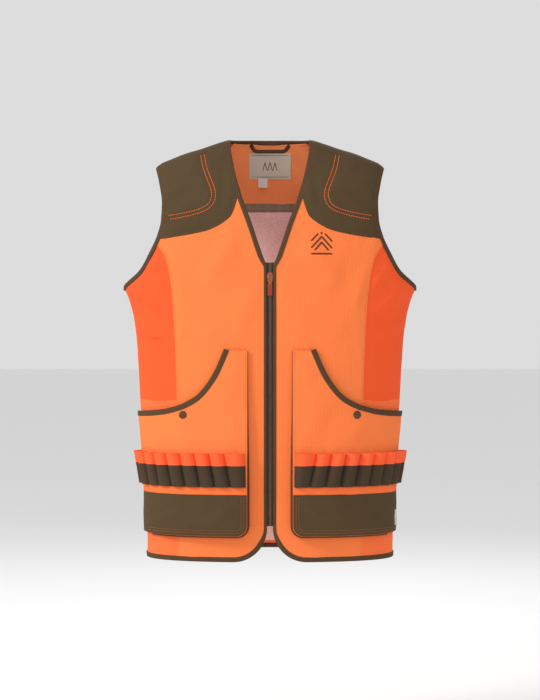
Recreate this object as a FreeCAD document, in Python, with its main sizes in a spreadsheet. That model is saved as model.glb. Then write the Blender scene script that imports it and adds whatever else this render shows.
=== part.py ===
"""A sleeveless field vest on its worn shape: cloth panels, bindings, bellows pockets,
shell loops, a separating zip and snaps, each piece a solid of its own. Millimetres, +Z up,
the front faces -Y, and the hem stands on Z = 0."""

import FreeCAD
import Part

import math
import os

V = FreeCAD.Vector
doc = FreeCAD.newDocument("field_vest")
sheet = doc.addObject("Spreadsheet::Sheet", "sizes")

SIZES = {
    # the worn body: half widths at the side seams, depths from the side seam plane
    "hem_half": 219.0, "waist_half": 236.0, "armpit_half": 260.0,
    "shoulder_half": 203.0, "neck_half": 70.0,
    "front_deep": 112.0, "back_deep": 119.0, "seam_plane": 8.7, "squareness": 2.5,
    "armpit_up": 480.0, "shoulder_up": 690.0, "neck_up": 741.0, "collar_up": 746.0,
    # cloth
    "cloth": 2.0, "lining_gap": 1.2, "lining_thick": 1.0, "seam_gap": 0.4,
    "binding_wide": 8.4, "binding_stand": 1.4, "patch_low": 560.0,
    # front closure
    "zip_edge": 5.6, "zip_binding": 5.2, "zip_low": 74.0, "zip_high": 515.0,
    "tape_reach": 18.0, "tape_thick": 0.9, "tape_behind": 0.3,
    "tooth_pitch": 4.0, "tooth_tall": 2.4, "tooth_tip": 0.6, "tooth_root": 2.0,
    "comb_edge": 3.0, "comb_thick": 2.6, "slider_up": 491.0, "slider_half": 8.0,
    "slider_wide": 10.0, "plate_thick": 1.3, "channel": 1.65, "blade_thick": 0.7,
    "arch_wide": 1.8, "bar_out": 4.25, "bar_drop": 1.5, "bar_radius": 0.6,
    "link_thick": 1.1, "tab_thick": 2.2, "tab_wide": 7.0, "tab_long": 21.0,
    # pockets
    "pocket_inner": 38.0, "pocket_low": 45.0, "pocket_high": 367.0, "mouth_side_up": 258.0,
    "pocket_corner": 18.0, "pocket_cloth": 1.4, "pocket_side": 3.4, "mouth_binding": 9.5,
    "pocket_stand_low": 15.0, "pocket_stand_snap": 8.0, "pocket_stand_high": 4.5,
    "olive_high": 115.0, "trim_low": 116.0, "trim_high": 130.0,
    "loop_low": 130.8, "loop_mid": 167.0, "loop_high": 188.0, "loop_cloth": 1.2,
    "loop_low_bulge": 8.0, "loop_high_bulge": 13.0, "loop_pitch": 26.6, "loop_count": 9.0,
    "snap_out": 148.0, "snap_up": 254.0, "snap_radius": 7.0, "snap_hole": 1.6,
    # neck
    "hanger_half": 38.0, "hanger_drop": 14.0, "hanger_wide": 6.0, "hanger_thick": 1.4,
    "hanger_up": 738.0, "hanger_back": 53.7, "label_half": 38.0, "label_low": 682.0,
    "label_high": 727.0, "tag_wide": 17.0, "tag_tall": 17.0, "tag_thick": 0.8,
    "tag_out": 13.0, "emblem_out": 89.0, "emblem_up": 550.0, "emblem_half": 20.0,
}
for row, (alias, value) in enumerate(SIZES.items(), start=1):
    sheet.set(f"A{row}", alias)
    sheet.set(f"B{row}", str(value))
    sheet.setAlias(f"B{row}", alias)
doc.recompute()


def size(alias):
    return float(getattr(sheet, alias))


# ---------------------------------------------------------------- the worn surface

def through(points):
    """A smooth curve through (at, value) points that never overshoots them."""
    at = [p[0] for p in points]
    to = [p[1] for p in points]
    slope = [(to[i + 1] - to[i]) / (at[i + 1] - at[i]) for i in range(len(at) - 1)]
    lean = [slope[0]]
    for one, two in zip(slope, slope[1:]):
        lean.append(0.0 if one * two <= 0 else 2 * one * two / (one + two))
    lean.append(slope[-1])

    def value(q):
        q = min(max(q, at[0]), at[-1])
        i = max(k for k in range(len(at) - 1) if at[k] <= q)
        step = at[i + 1] - at[i]
        u = (q - at[i]) / step
        return (to[i] * (1 + 2 * u) * (1 - u) ** 2 + lean[i] * step * u * (1 - u) ** 2
                + to[i + 1] * u * u * (3 - 2 * u) + lean[i + 1] * step * u * u * (u - 1))

    return value


def beside(points, wide, side):
    """The (z, x) points of an edge moved square to it: side 1 outward, -1 to the centre."""
    moved = []
    for i, (z, x) in enumerate(points):
        before = points[max(i - 1, 0)]
        after = points[min(i + 1, len(points) - 1)]
        up, out = after[0] - before[0], after[1] - before[1]
        length = math.hypot(up, out)
        moved.append((z - side * out / length * wide, x + side * up / length * wide))
    return moved


HEM, WAIST, ARMPIT = size("hem_half"), size("waist_half"), size("armpit_half")
SHOULDER, NECK = size("shoulder_half"), size("neck_half")
FRONT, BACK, SEAM_Y = size("front_deep"), size("back_deep"), size("seam_plane")
UP_ARM, UP_SHOULDER, UP_NECK = size("armpit_up"), size("shoulder_up"), size("neck_up")
TOP, PATCH_LOW = size("collar_up"), size("patch_low")
CLOTH, GAP, BIND = size("cloth"), size("seam_gap"), size("binding_wide")
POWER = size("squareness")

half_width = through([
    (0, HEM), (100, HEM), (205, HEM + 7), (277, WAIST - 4), (366, WAIST + 1),
    (420, WAIST + 7), (455, ARMPIT - 8), (UP_ARM, ARMPIT), (520, ARMPIT - 4),
    (560, ARMPIT - 11), (600, ARMPIT - 19), (640, ARMPIT - 30), (670, SHOULDER + 12),
    (UP_SHOULDER, SHOULDER), (UP_NECK, NECK), (TOP, NECK - 12)])
front_depth = through([
    (0, FRONT), (530, FRONT), (570, FRONT - 5), (620, FRONT - 17), (660, FRONT - 34),
    (UP_SHOULDER, FRONT - 52), (UP_NECK, 35), (TOP, 31)])
back_depth = through([
    (0, BACK - 6), (200, BACK - 14), (300, BACK - 16), (400, BACK - 8), (500, BACK),
    (560, BACK - 1), (620, BACK - 9), (660, BACK - 23), (UP_SHOULDER, BACK - 40),
    (UP_NECK, 50), (TOP, 45)])


def on_body(turn, z, side_out=0.0, face_out=0.0):
    """A point of the worn surface: turn 0 is the front centre, 1 the side seam, 2 the back
    centre, 3 the other side seam. side_out and face_out stand it out of the body sideways
    and forward or back."""
    if turn > 2:
        near = on_body(4 - turn, z, side_out, face_out)
        return V(-near.x, near.y, near.z)
    angle = turn * math.pi / 2
    x = (half_width(z) + side_out) * abs(math.sin(angle)) ** (2 / POWER)
    across = abs(math.cos(angle)) ** (2 / POWER)
    if turn <= 1:
        return V(x, SEAM_Y - (front_depth(z) + face_out) * across, z)
    return V(x, SEAM_Y + (back_depth(z) + face_out) * across, z)


def turn_at(x, z):
    """The turn of the front at which the surface is x from the centre line."""
    share = min(max(x / half_width(z), 0.0), 1.0)
    return math.asin(share ** (POWER / 2)) * 2 / math.pi


def section(turns, z, inner, outer):
    """The closed outline of a piece of cloth in one level plane."""
    far = [on_body(turn, z, *outer) for turn in turns]
    near = [on_body(turn, z, *inner) for turn in reversed(turns)]
    return outline(far, near)


def outline(far, near):
    edges = []
    for line in (far, near):
        curve = Part.BSplineCurve()
        curve.interpolate(line)
        edges.append(curve.toShape())
    return Part.Wire([edges[0], Part.makeLine(far[-1], near[0]), edges[1],
                      Part.makeLine(near[-1], far[0])])


def cloth(levels, start, end, inner, outer, steps=16, ruled=False):
    """Cloth lofted through level planes. start and end give its turns at a level, inner and
    outer how far its two faces stand out of the body, as numbers or functions of the level.
    A ruled piece runs straight from level to level, which suits an edge with a corner."""
    wires = []
    for z in levels:
        first, last = start(z), end(z)
        turns = [first + (last - first) * i / steps for i in range(steps + 1)]
        faces = [face(z) if callable(face) else (face, face) for face in (inner, outer)]
        wires.append(section(turns, z, *faces))
    return Part.makeLoft(wires, True, ruled)


def spread(low, high, count, crowd=0.0):
    """Levels from low to high; crowd above 0 draws them towards the low end."""
    return [low + (high - low) * (i / (count - 1)) ** (1 + crowd) for i in range(count)]


def mirrored(shape):
    return shape.mirror(V(0, 0, 0), V(1, 0, 0))


# ---------------------------------------------------------------- outlines in the front view

CORNER_UP, CORNER_OUT = 58.0, 58.0
SEAM_TURN = 0.999

NECK_POINTS = [(512, size("zip_edge")), (524, 11), (586, 32), (636, 50), (690, 64),
               (730, 70), (UP_NECK, NECK)]
ARM_POINTS = [(UP_ARM, ARMPIT), (506, 228), (537, 210), (565, 197), (593, 190),
              (622, 189), (660, 195), (UP_SHOULDER, SHOULDER)]
MOUTH_POINTS = [(size("mouth_side_up"), 228), (263, 182), (274, 147), (291, 121), (328, 95),
                (size("pocket_high"), 78)]
neck_edge = through(NECK_POINTS)
neck_inside = through(beside(NECK_POINTS, BIND, 1))
armhole_edge = through(ARM_POINTS)
armhole_inside = through(beside(ARM_POINTS, BIND, -1))
mouth_edge = through(MOUTH_POINTS)
mouth_inside = through(beside(MOUTH_POINTS, size("mouth_binding"), -1))
side_seam_x = through([(0, 160), (280, 162), (400, 166), (470, 171), (520, 180), (540, 189)])
patch_edge = through([(PATCH_LOW, 184), (563, 162), (567, 136), (574, 106), (587, 81),
                      (600, 67), (630, 57), (640, 55)])
edge_wide = through([(30, BIND), (CORNER_UP, size("zip_binding")), (500, size("zip_binding")),
                     (530, BIND)])


def front_edge(z, inset=0.0):
    """The opening's edge: round the hem corner, up the zip and the neckline."""
    straight = size("zip_edge")
    if z < CORNER_UP:
        rise = min((CORNER_UP - z) / (CORNER_UP - inset), 1.0)
        return straight + inset + (CORNER_OUT - inset) * (1 - math.sqrt(1 - rise * rise))
    return neck_edge(z) + inset


def bound_edge(z):
    """The panel side of the binding along the front opening."""
    return max(front_edge(z, edge_wide(z)), neck_inside(z) if z > 545 else 0.0)


# ---------------------------------------------------------------- keeping the pieces

PIECES = []


def keep(name, shape):
    made = doc.addObject("Part::Feature", name)
    made.Shape = shape
    made.Placement = FreeCAD.Placement()
    return named(made, name)


def named(made, name):
    made.Label = name
    PIECES.append(made)
    return made


def both_sides(name, shape):
    """The piece on the wearer's left, at +X, and its mirror image on the right."""
    keep("left_" + name, shape)
    keep("right_" + name, mirrored(shape))


def across_back(name, levels, start, inner, outer, steps=32):
    """Cloth that runs from start over the centre of the back to its mirror image."""
    keep(name, cloth(levels, start, lambda z: 4 - start(z), inner, outer, steps, ruled=True))


# ---------------------------------------------------------------- body panels

def snap_place():
    """The snap's place on the front panel, its own Z pointing out of the cloth."""
    z = size("snap_up")
    turn = turn_at(size("snap_out"), z)
    along = on_body(turn + 0.01, z) - on_body(turn - 0.01, z)
    up = on_body(turn, z + 5) - on_body(turn, z - 5)
    return FreeCAD.Placement(on_body(turn, z), FreeCAD.Rotation(V(0, 0, 1), along.cross(up)))


def panel_side(z):
    """How far the front and back panels reach: to the side seam, armhole or patch."""
    if z > PATCH_LOW - 2 * GAP:
        return patch_edge(z) - 5 * GAP
    return min(side_seam_x(z), armhole_inside(z) if z > 520 else ARMPIT) - 3 * GAP


def front_panels():
    levels = spread(BIND + GAP, CORNER_UP, 8, 0.8) + spread(100, PATCH_LOW - 3 * GAP, 18)
    levels += [PATCH_LOW - GAP] + spread(PATCH_LOW + 1, 614, 8, 0.8)
    panel = cloth(levels, lambda z: turn_at(bound_edge(z) + 3 * GAP, z),
                  lambda z: turn_at(panel_side(z), z), -CLOTH, 0.0, ruled=True)
    drill = Part.makeCylinder(size("snap_hole"), 12, V(0, 0, -6))
    drill.Placement = snap_place()
    both_sides("front_panel", panel.cut(drill))


def side_panels():
    levels = spread(BIND + GAP, UP_ARM - BIND, 14) + spread(UP_ARM - BIND + 2, 540, 9)
    seam = lambda z: turn_at(side_seam_x(z), z)

    def arm(z):
        return min(SEAM_TURN, turn_at(armhole_inside(z) - GAP, z)) if z > UP_ARM - BIND else SEAM_TURN

    both_sides("side_front", cloth(levels, seam, arm, -CLOTH, 0.0, ruled=True))
    both_sides("side_back", cloth(levels, lambda z: 2 - arm(z), lambda z: 2 - seam(z), -CLOTH,
                                  0.0, ruled=True))


PATCH_BACK = 66.0


def back_panel():
    levels = spread(BIND + GAP, PATCH_LOW - 3 * GAP, 20) + [PATCH_LOW - GAP]
    levels += spread(PATCH_LOW + 1, 640, 9, 0.8) + spread(650, 736, 9)
    across_back("back_panel", levels,
                lambda z: 2 - turn_at(max(panel_side(z), PATCH_BACK - 5 * GAP), z), -CLOTH, 0.0)


def shoulder_patches():
    """One piece over the shoulder, lofted from its front foot across the ridge to its back
    foot. Each station runs over the cloth from a point of the neck side to one of the arm."""
    arm = lambda z: turn_at(armhole_inside(z) - GAP, z)
    ridge_out = next(z / 4 for z in range(2760, 2960) if arm(z / 4) > 0.985)
    foot = [PATCH_LOW + GAP, 563, 567, 574, 587, 600, 615, 630]
    neck = [645, 660, 675, 690, 703, 714, 723, 730, 734]
    rise = [562, 566, 572, 580, 590, 600, 610, 620]
    climb = [632, 644, 655, 664, 672, 679, 685, 690, 693]
    inside = lambda z: max(neck_inside(z) + GAP, patch_edge(z) if z < 640 else 0)
    stations = [((turn_at(inside(a), a), a), (arm(b), b)) for a, b in zip(foot + neck,
                                                                         rise + climb)]
    stations[0] = (stations[0][0], (arm(PATCH_LOW + GAP), PATCH_LOW + GAP))
    stations.append(((1.0, 736.8), (1.0, ridge_out)))
    back_of = lambda z: 2 - turn_at(max(PATCH_BACK, patch_edge(z)), z)
    nape = [(1.14, 736.6), (1.28, 736.6), (1.4, 736.4), (back_of(732), 732)]
    nape += [(back_of(z), z) for z in (720, 704, 684, 664)]
    down = [693, 690, 686, 681, 675, 668, 660, 650]
    stations += [(a, (2 - arm(b), b)) for a, b in zip(nape, down)]
    low = [648, 632, 615, 600, 587, 574, 567, 563, PATCH_LOW + GAP]
    feet = [640, 628, 616, 604, 592, 581, 572, 566, PATCH_LOW + GAP]
    stations += [((back_of(a), a), (2 - arm(b), b)) for a, b in zip(low, feet)]
    wires = []
    for (turn_a, z_a), (turn_b, z_b) in stations:
        line = [(turn_a + (turn_b - turn_a) * i / 10, z_a + (z_b - z_a) * i / 10)
                for i in range(11)]
        level = z_a == z_b and z_a < PATCH_LOW + 1
        under = [on_body(turn, z, -CLOTH, -CLOTH) if level
                 else on_body(turn, z) - face_at(turn, z) * CLOTH for turn, z in reversed(line)]
        wires.append(outline([on_body(turn, z) for turn, z in line], under))
    both_sides("shoulder_patch", Part.makeLoft(wires, True, True))


def shoulder_pads():
    inner_edge = through([(596, 172), (602, 140), (614, 122), (650, 115), (672, 112)])
    both_sides("shoulder_pad", cloth(
        [596.5, 599, 603, 608, 616, 632, 650, 664, 672], lambda z: turn_at(inner_edge(z), z),
        lambda z: turn_at(armhole_edge(z) - 14, z), -CLOTH - 6.5, -CLOTH - 2.4))


# ---------------------------------------------------------------- bindings

def face_at(turn, z):
    """The outward direction of the worn surface."""
    turn = min(max(turn, 0.002), 1.998)
    along = on_body(turn + 0.001, z) - on_body(turn - 0.001, z)
    return along.cross(on_body(turn, z + 0.5) - on_body(turn, z - 0.5)).normalize()


def route(path, off=None):
    """The places of (turn, level) points and the way the cloth faces there."""
    off = off or (lambda z: (0.0, 0.0))
    return [(on_body(turn, z, *off(z)), face_at(turn, z)) for turn, z in path]


def both_ways(half):
    """A route that ends on the centre of the back, carried on to the other side."""
    other = [(V(-p.x, p.y, p.z), V(-f.x, f.y, f.z)) for p, f in half[:-1]]
    return half + other[::-1]


def ribbon(places, wide, side, inner, outer):
    """Tape folded over an edge: it follows the route with its cloth on one side of it."""
    wires = []
    for i, (place, face) in enumerate(places):
        along = places[min(i + 1, len(places) - 1)][0] - places[max(i - 1, 0)][0]
        across = face.cross(along).normalize() * side
        reach = across * (wide(place.z) if callable(wide) else wide)
        corners = [place + face * outer, place + reach + face * outer,
                   place + reach + face * inner, place + face * inner]
        wires.append(Part.makePolygon(corners + corners[:1]))
    return Part.makeLoft(wires, True, True)


def bindings():
    stand = size("binding_stand")
    foot = turn_at(front_edge(0), 0)
    path = [(SEAM_TURN + (foot - SEAM_TURN) * i / 12, 0.0) for i in range(13)]
    for i in range(1, 9):
        angle = math.pi / 2 * i / 8
        x = size("zip_edge") + CORNER_OUT * (1 - math.sin(angle))
        z = CORNER_UP * (1 - math.cos(angle))
        path.append((turn_at(x, z), z))
    climb = [100, 200, 300, 400, 480, 505, 514, 522, 532, 545, 560, 580, 600, 619]
    path += [(turn_at(neck_edge(z), z), z) for z in climb]
    both_sides("edge_binding", ribbon(route(path), edge_wide, -1, -CLOTH, stand))
    back = [(2 - SEAM_TURN + (SEAM_TURN - 1) * i / 16 + i / 16, 0.0) for i in range(17)]
    keep("back_hem_binding", ribbon(both_ways(route(back)), BIND, 1, -CLOTH, stand))
    rise = [620, 640, 660, 680, 697, 710, 720, 728, 734, 738]
    neck = [(turn_at(neck_edge(z), z), z) for z in rise]
    neck += [(1 + i / 12, UP_NECK + (TOP - UP_NECK) * i / 12) for i in range(13)]
    keep("collar_binding", ribbon(both_ways(route(neck)), BIND, -1, -CLOTH, stand))
    under = [482, 485, 490, 499, 511, 526, 543, PATCH_LOW - GAP]
    over = [PATCH_LOW + GAP, 580, 602, 625, 645, 663, 676, 685]
    front = [(SEAM_TURN, UP_ARM)] + [(turn_at(armhole_edge(z), z), z) for z in under]
    both_sides("armhole_front_binding", ribbon(route(front), BIND, 1, -CLOTH, stand))
    ring = [(turn_at(armhole_edge(z), z), z) for z in over] + [(1.0, UP_SHOULDER)]
    ring += [(2 - turn_at(armhole_edge(z), z), z) for z in reversed(under[:-1] + over)]
    ring.append((2 - SEAM_TURN, UP_ARM))
    both_sides("armhole_binding", ribbon(route(ring), BIND, 1, -CLOTH, stand))


# ---------------------------------------------------------------- inside the neck

def inside_pieces():
    face = -CLOTH - size("lining_gap")
    back = face - size("lining_thick")
    arm = lambda z: turn_at(armhole_inside(z) - 6, z) if z > UP_ARM - 20 else 1.0
    across_back("back_lining", spread(14, 460, 12) + [466, 474, 480, 488, 498, 510, 525, 545,
                565, 585, 605, 620], lambda z: max(1.04, 2 - arm(z)), back, face)
    across_back("yoke_tape", [622, 626, 631, 636], lambda z: 2 - turn_at(160, z), back, face)
    facing_out = through([(638, 156), (660, 142), (690, 116), (735, 62)])
    across_back("neck_facing", spread(638, 730, 10), lambda z: 2 - turn_at(facing_out(z), z),
                lambda z: (back - 7, back), lambda z: (face - 7, face))
    across_back("neck_label", spread(size("label_low"), size("label_high"), 4),
                lambda z: 2 - turn_at(size("label_half"), z), back - 1.7, back - 0.9, steps=8)


# ---------------------------------------------------------------- pockets

pocket_stand = through([
    (size("pocket_low"), size("pocket_stand_low")), (120, size("pocket_stand_low")),
    (size("snap_up"), size("pocket_stand_snap")),
    (size("pocket_high"), size("pocket_stand_high"))])
POCKET_TURN = 0.985


def off_pocket(extra):
    """How far a face stands that is extra out of the back of the pocket cloth."""
    return lambda z: (size("pocket_side") + extra, pocket_stand(z) + extra)


def pocket_edge(z):
    """The pocket's edge by the zip, rounded at its foot."""
    low, corner = size("pocket_low"), size("pocket_corner")
    rise = max(0.0, (low + corner - z) / corner)
    return size("pocket_inner") + corner * (1 - math.sqrt(1 - rise * rise))


def pocket_panels():
    skin = size("pocket_cloth")
    low, high = size("pocket_low"), size("pocket_high")
    wide = size("mouth_binding")
    side_up = size("mouth_side_up")
    start = lambda z: turn_at(pocket_edge(z), z)
    clear = through([(248, 13), (262, 11), (280, 4), (high, 2.5)])

    def inside(z):
        free = z < side_up - wide - 1.5
        return POCKET_TURN - 0.009 if free else turn_at(mouth_inside(z) - clear(z), z)

    levels = spread(low, low + 18, 6, 0.8) + [90, 120, 145, 170, 195, 220, side_up - wide - 2]
    levels += spread(side_up - wide - 1, high, 13, 0.5)
    panel = cloth(levels, start, inside, off_pocket(0), off_pocket(skin),
                  ruled=True)
    drill = Part.makeCylinder(size("snap_hole"), 30, V(0, 0, -6))
    drill.Placement = snap_place()
    both_sides("pocket_panel", panel.cut(drill))
    fall = [high, 364, 358, 350, 340, 328, 315, 303, 291, 282, 274, 268, 263, 260]
    sweep = [(turn_at(mouth_edge(z), z), z) for z in fall]
    sweep += [(turn, side_up) for turn in (0.80, 0.88, 0.94, POCKET_TURN)]
    both_sides("mouth_binding", ribbon(route(sweep, off_pocket(0)), wide, -1, -0.6, skin + 0.9))
    both_sides("lower_panel", cloth(
        spread(low + 1, low + 18, 6, 0.8) + [80, 98, size("olive_high")],
        lambda z: turn_at(pocket_edge(z) + 1, z), lambda z: POCKET_TURN - 0.01,
        off_pocket(skin + 0.2), off_pocket(skin + 1.2)))
    both_sides("trim_strip", cloth(
        spread(size("trim_low"), size("trim_high"), 4), start, lambda z: POCKET_TURN - 0.01,
        off_pocket(skin + 0.2), off_pocket(skin + 1.0)))


def gussets():
    """The folded cloth that closes the pocket's inner side and foot."""
    skin = size("pocket_cloth")
    low, high = size("pocket_low") + 0.3, size("pocket_high")
    start = lambda z: turn_at(pocket_edge(z) + 0.5, z)
    front = lambda z: (size("pocket_side") - 0.3, pocket_stand(z) - 0.3)

    def end(z):
        return POCKET_TURN - 0.02 if z <= low + skin else turn_at(pocket_edge(z) + skin + 1, z)

    levels = [low, low + skin, low + skin + 0.1, 50, 54, 58, 63, 90, 120, 150, 185, 220, 254,
              300, high - 3]
    both_sides("pocket_gusset", cloth(levels, start, end, 0.4, front, ruled=True))


def loop_turns():
    """Turns at equal steps along the pocket, eight to a loop, over all the loops."""
    z, per_loop = size("loop_mid"), 8
    step = size("loop_pitch") / per_loop
    turns = [turn_at(pocket_edge(z) + 3, z)]
    turn = turns[0]
    last = on_body(turn, z, *off_pocket(0)(z))
    while len(turns) < size("loop_count") * per_loop + 1 and turn < POCKET_TURN:
        turn += 0.0005
        here = on_body(turn, z, *off_pocket(0)(z))
        if (here - last).Length >= step:
            turns.append(turn)
            last = here
    return turns


def loops():
    """The band of shell loops: cloth that leaves the pocket in a wave, one wave a shell."""
    skin, thick = size("pocket_cloth"), size("loop_cloth")
    low, middle, high = size("loop_low"), size("loop_mid"), size("loop_high")
    bulge = through([(low, size("loop_low_bulge")), (high, size("loop_high_bulge"))])
    turns = loop_turns()

    def wave(z, lift):
        line = []
        for i, turn in enumerate(turns):
            swell = bulge(z) * ((1 - math.cos(2 * math.pi * i / 8)) / 2) ** 0.6
            place = on_body(turn, z, *off_pocket(skin + 0.2 + lift)(z))
            ahead = on_body(min(turn + 0.01, 1), z) - on_body(turn - 0.01, z)
            line.append(place + ahead.cross(V(0, 0, 1)).normalize() * swell)
        return line

    def band(levels):
        wires = [outline(wave(z, thick), list(reversed(wave(z, 0.0)))) for z in levels]
        return Part.makeLoft(wires, True, False)

    both_sides("loops_lower", band(spread(low, middle - 0.3, 4)))
    both_sides("loops_upper", band(spread(middle, high, 3)))


# ---------------------------------------------------------------- made hardware

def body_of(name, place=FreeCAD.Placement()):
    body = doc.addObject("PartDesign::Body", name)
    body.Placement = place
    return named(body, name)


def drawn(body, role, points, offset=0.0):
    """A closed outline of straight lines on one of the body's own planes."""
    drawing = body.newObject("Sketcher::SketchObject", body.Name + "_sketch")
    plane = next(f for f in body.Origin.OriginFeatures if f.Role == role)
    drawing.AttachmentSupport = [(plane, "")]
    drawing.MapMode = "FlatFace"
    drawing.AttachmentOffset = FreeCAD.Placement(V(0, 0, offset), FreeCAD.Rotation())
    for one, two in zip(points, points[1:] + points[:1]):
        drawing.addGeometry(Part.LineSegment(V(*one, 0), V(*two, 0)))
    return drawing


def pad(body, drawing, expression, kind="PartDesign::Pad"):
    made = body.newObject(kind, body.Name + "_step")
    made.Profile = drawing
    made.setExpression("Length", expression)
    body.Tip = made
    return made


def box_points(left, right, low, high):
    return [(left, low), (right, low), (right, high), (left, high)]


def turned(name, profile, place):
    """A round part from its half profile of (radius, height) points."""
    body = body_of(name, place)
    drawing = drawn(body, "XZ_Plane", profile)
    made = body.newObject("PartDesign::Revolution", name + "_turn")
    made.Profile = drawing
    made.ReferenceAxis = (drawing, ["V_Axis"])
    made.Angle = 360
    body.Tip = made


def snaps():
    radius, hole = size("snap_radius"), size("snap_hole")
    place = snap_place()
    base, out = place.Base, place.Rotation.multVec(V(0, 0, 1))
    z = size("snap_up")
    turn = turn_at(size("snap_out"), z)
    stand, back = ((on_body(turn, z, *off_pocket(skin)(z)) - base).dot(out)
                   for skin in (0, size("pocket_cloth")))
    barrel = hole - 0.3
    profiles = {
        "snap_post": [(0, -CLOTH - 1.1), (radius - 1, -CLOTH - 1.1), (radius - 1, -CLOTH - 0.1),
                      (barrel, -CLOTH - 0.1), (barrel, 0.0), (0, 0.0)],
        "snap_stud": [(0, 0.1), (radius - 0.8, 0.1), (radius - 0.8, 0.9), (2.4, 1.5),
                      (2.0, 2.2), (2.5, 3.2), (2.2, 4.2), (0, 4.2)],
        "snap_socket": [(3.0, 2.4), (radius - 0.8, 2.4), (radius - 0.8, stand - 1.2),
                        (0, stand - 1.2), (0, 4.8), (3.0, 4.8)],
        "snap_cap": [(0, stand - 0.6), (barrel, stand - 0.6), (barrel, back + 0.6),
                     (radius, back + 0.6), (radius, back + 1.1), (radius - 1.2, back + 1.9),
                     (0, back + 2.4)],
    }
    right = FreeCAD.Placement(V(-base.x, base.y, base.z),
                              FreeCAD.Rotation(V(0, 0, 1), V(-out.x, out.y, out.z)))
    for name, profile in profiles.items():
        turned("left_" + name, profile, place)
        turned("right_" + name, profile, right)


ZIP_Y = SEAM_Y - FRONT + CLOTH + size("tape_behind") + size("tape_thick") / 2


def zip_halves():
    low, high = size("zip_low"), size("zip_high")
    thick = size("comb_thick")
    for side, name in ((1, "left"), (-1, "right")):
        tape = doc.addObject("Part::Box", name + "_zip_tape")
        tape.setExpression("Length", "sizes.tape_reach - sizes.comb_edge - 0.1")
        tape.setExpression("Width", "sizes.tape_thick")
        tape.setExpression("Height", "sizes.zip_high - sizes.zip_low + 14")
        reach = size("comb_edge") + 0.1 if side > 0 else -size("tape_reach")
        tape.Placement.Base = V(reach, ZIP_Y - size("tape_thick") / 2, low - 12)
        named(tape, name + "_zip_tape")
        comb = body_of(name + "_zip_comb", FreeCAD.Placement(V(0, ZIP_Y, low),
                                                             FreeCAD.Rotation()))
        edges = sorted([side * size("tooth_root"), side * size("comb_edge")])
        spine = drawn(comb, "XZ_Plane", box_points(*edges, 0, high - low), -thick / 2)
        pad(comb, spine, "sizes.comb_thick")
        shift = 0.3 if side > 0 else 0.3 + size("tooth_pitch") / 2
        edges = sorted([side * size("tooth_tip"), side * (size("tooth_root") + 0.2)])
        tooth = drawn(comb, "XZ_Plane", box_points(*edges, shift, shift + size("tooth_tall")),
                      -thick / 2)
        made = pad(comb, tooth, "sizes.comb_thick")
        count = int((high - low - shift - size("tooth_tall")) / size("tooth_pitch")) + 1
        row = comb.newObject("PartDesign::LinearPattern", name + "_teeth")
        row.Originals = [made]
        row.Direction = (tooth, ["V_Axis"])
        row.Length = (count - 1) * size("tooth_pitch")
        row.Occurrences = count
        comb.Tip = row
    catch = body_of("zip_box", FreeCAD.Placement(V(0, ZIP_Y, low - 12), FreeCAD.Rotation()))
    pad(catch, drawn(catch, "XZ_Plane", box_points(0.6, 3.0, 0, 11.7), -2.0), "4")
    pin = doc.addObject("Part::Cylinder", "zip_pin")
    pin.setExpression("Radius", "(sizes.comb_edge - sizes.tooth_tip) / 2")
    pin.Height = 11.7
    pin.Placement.Base = V(-(size("comb_edge") + size("tooth_tip")) / 2, ZIP_Y, low - 12)
    named(pin, "zip_pin")


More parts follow.
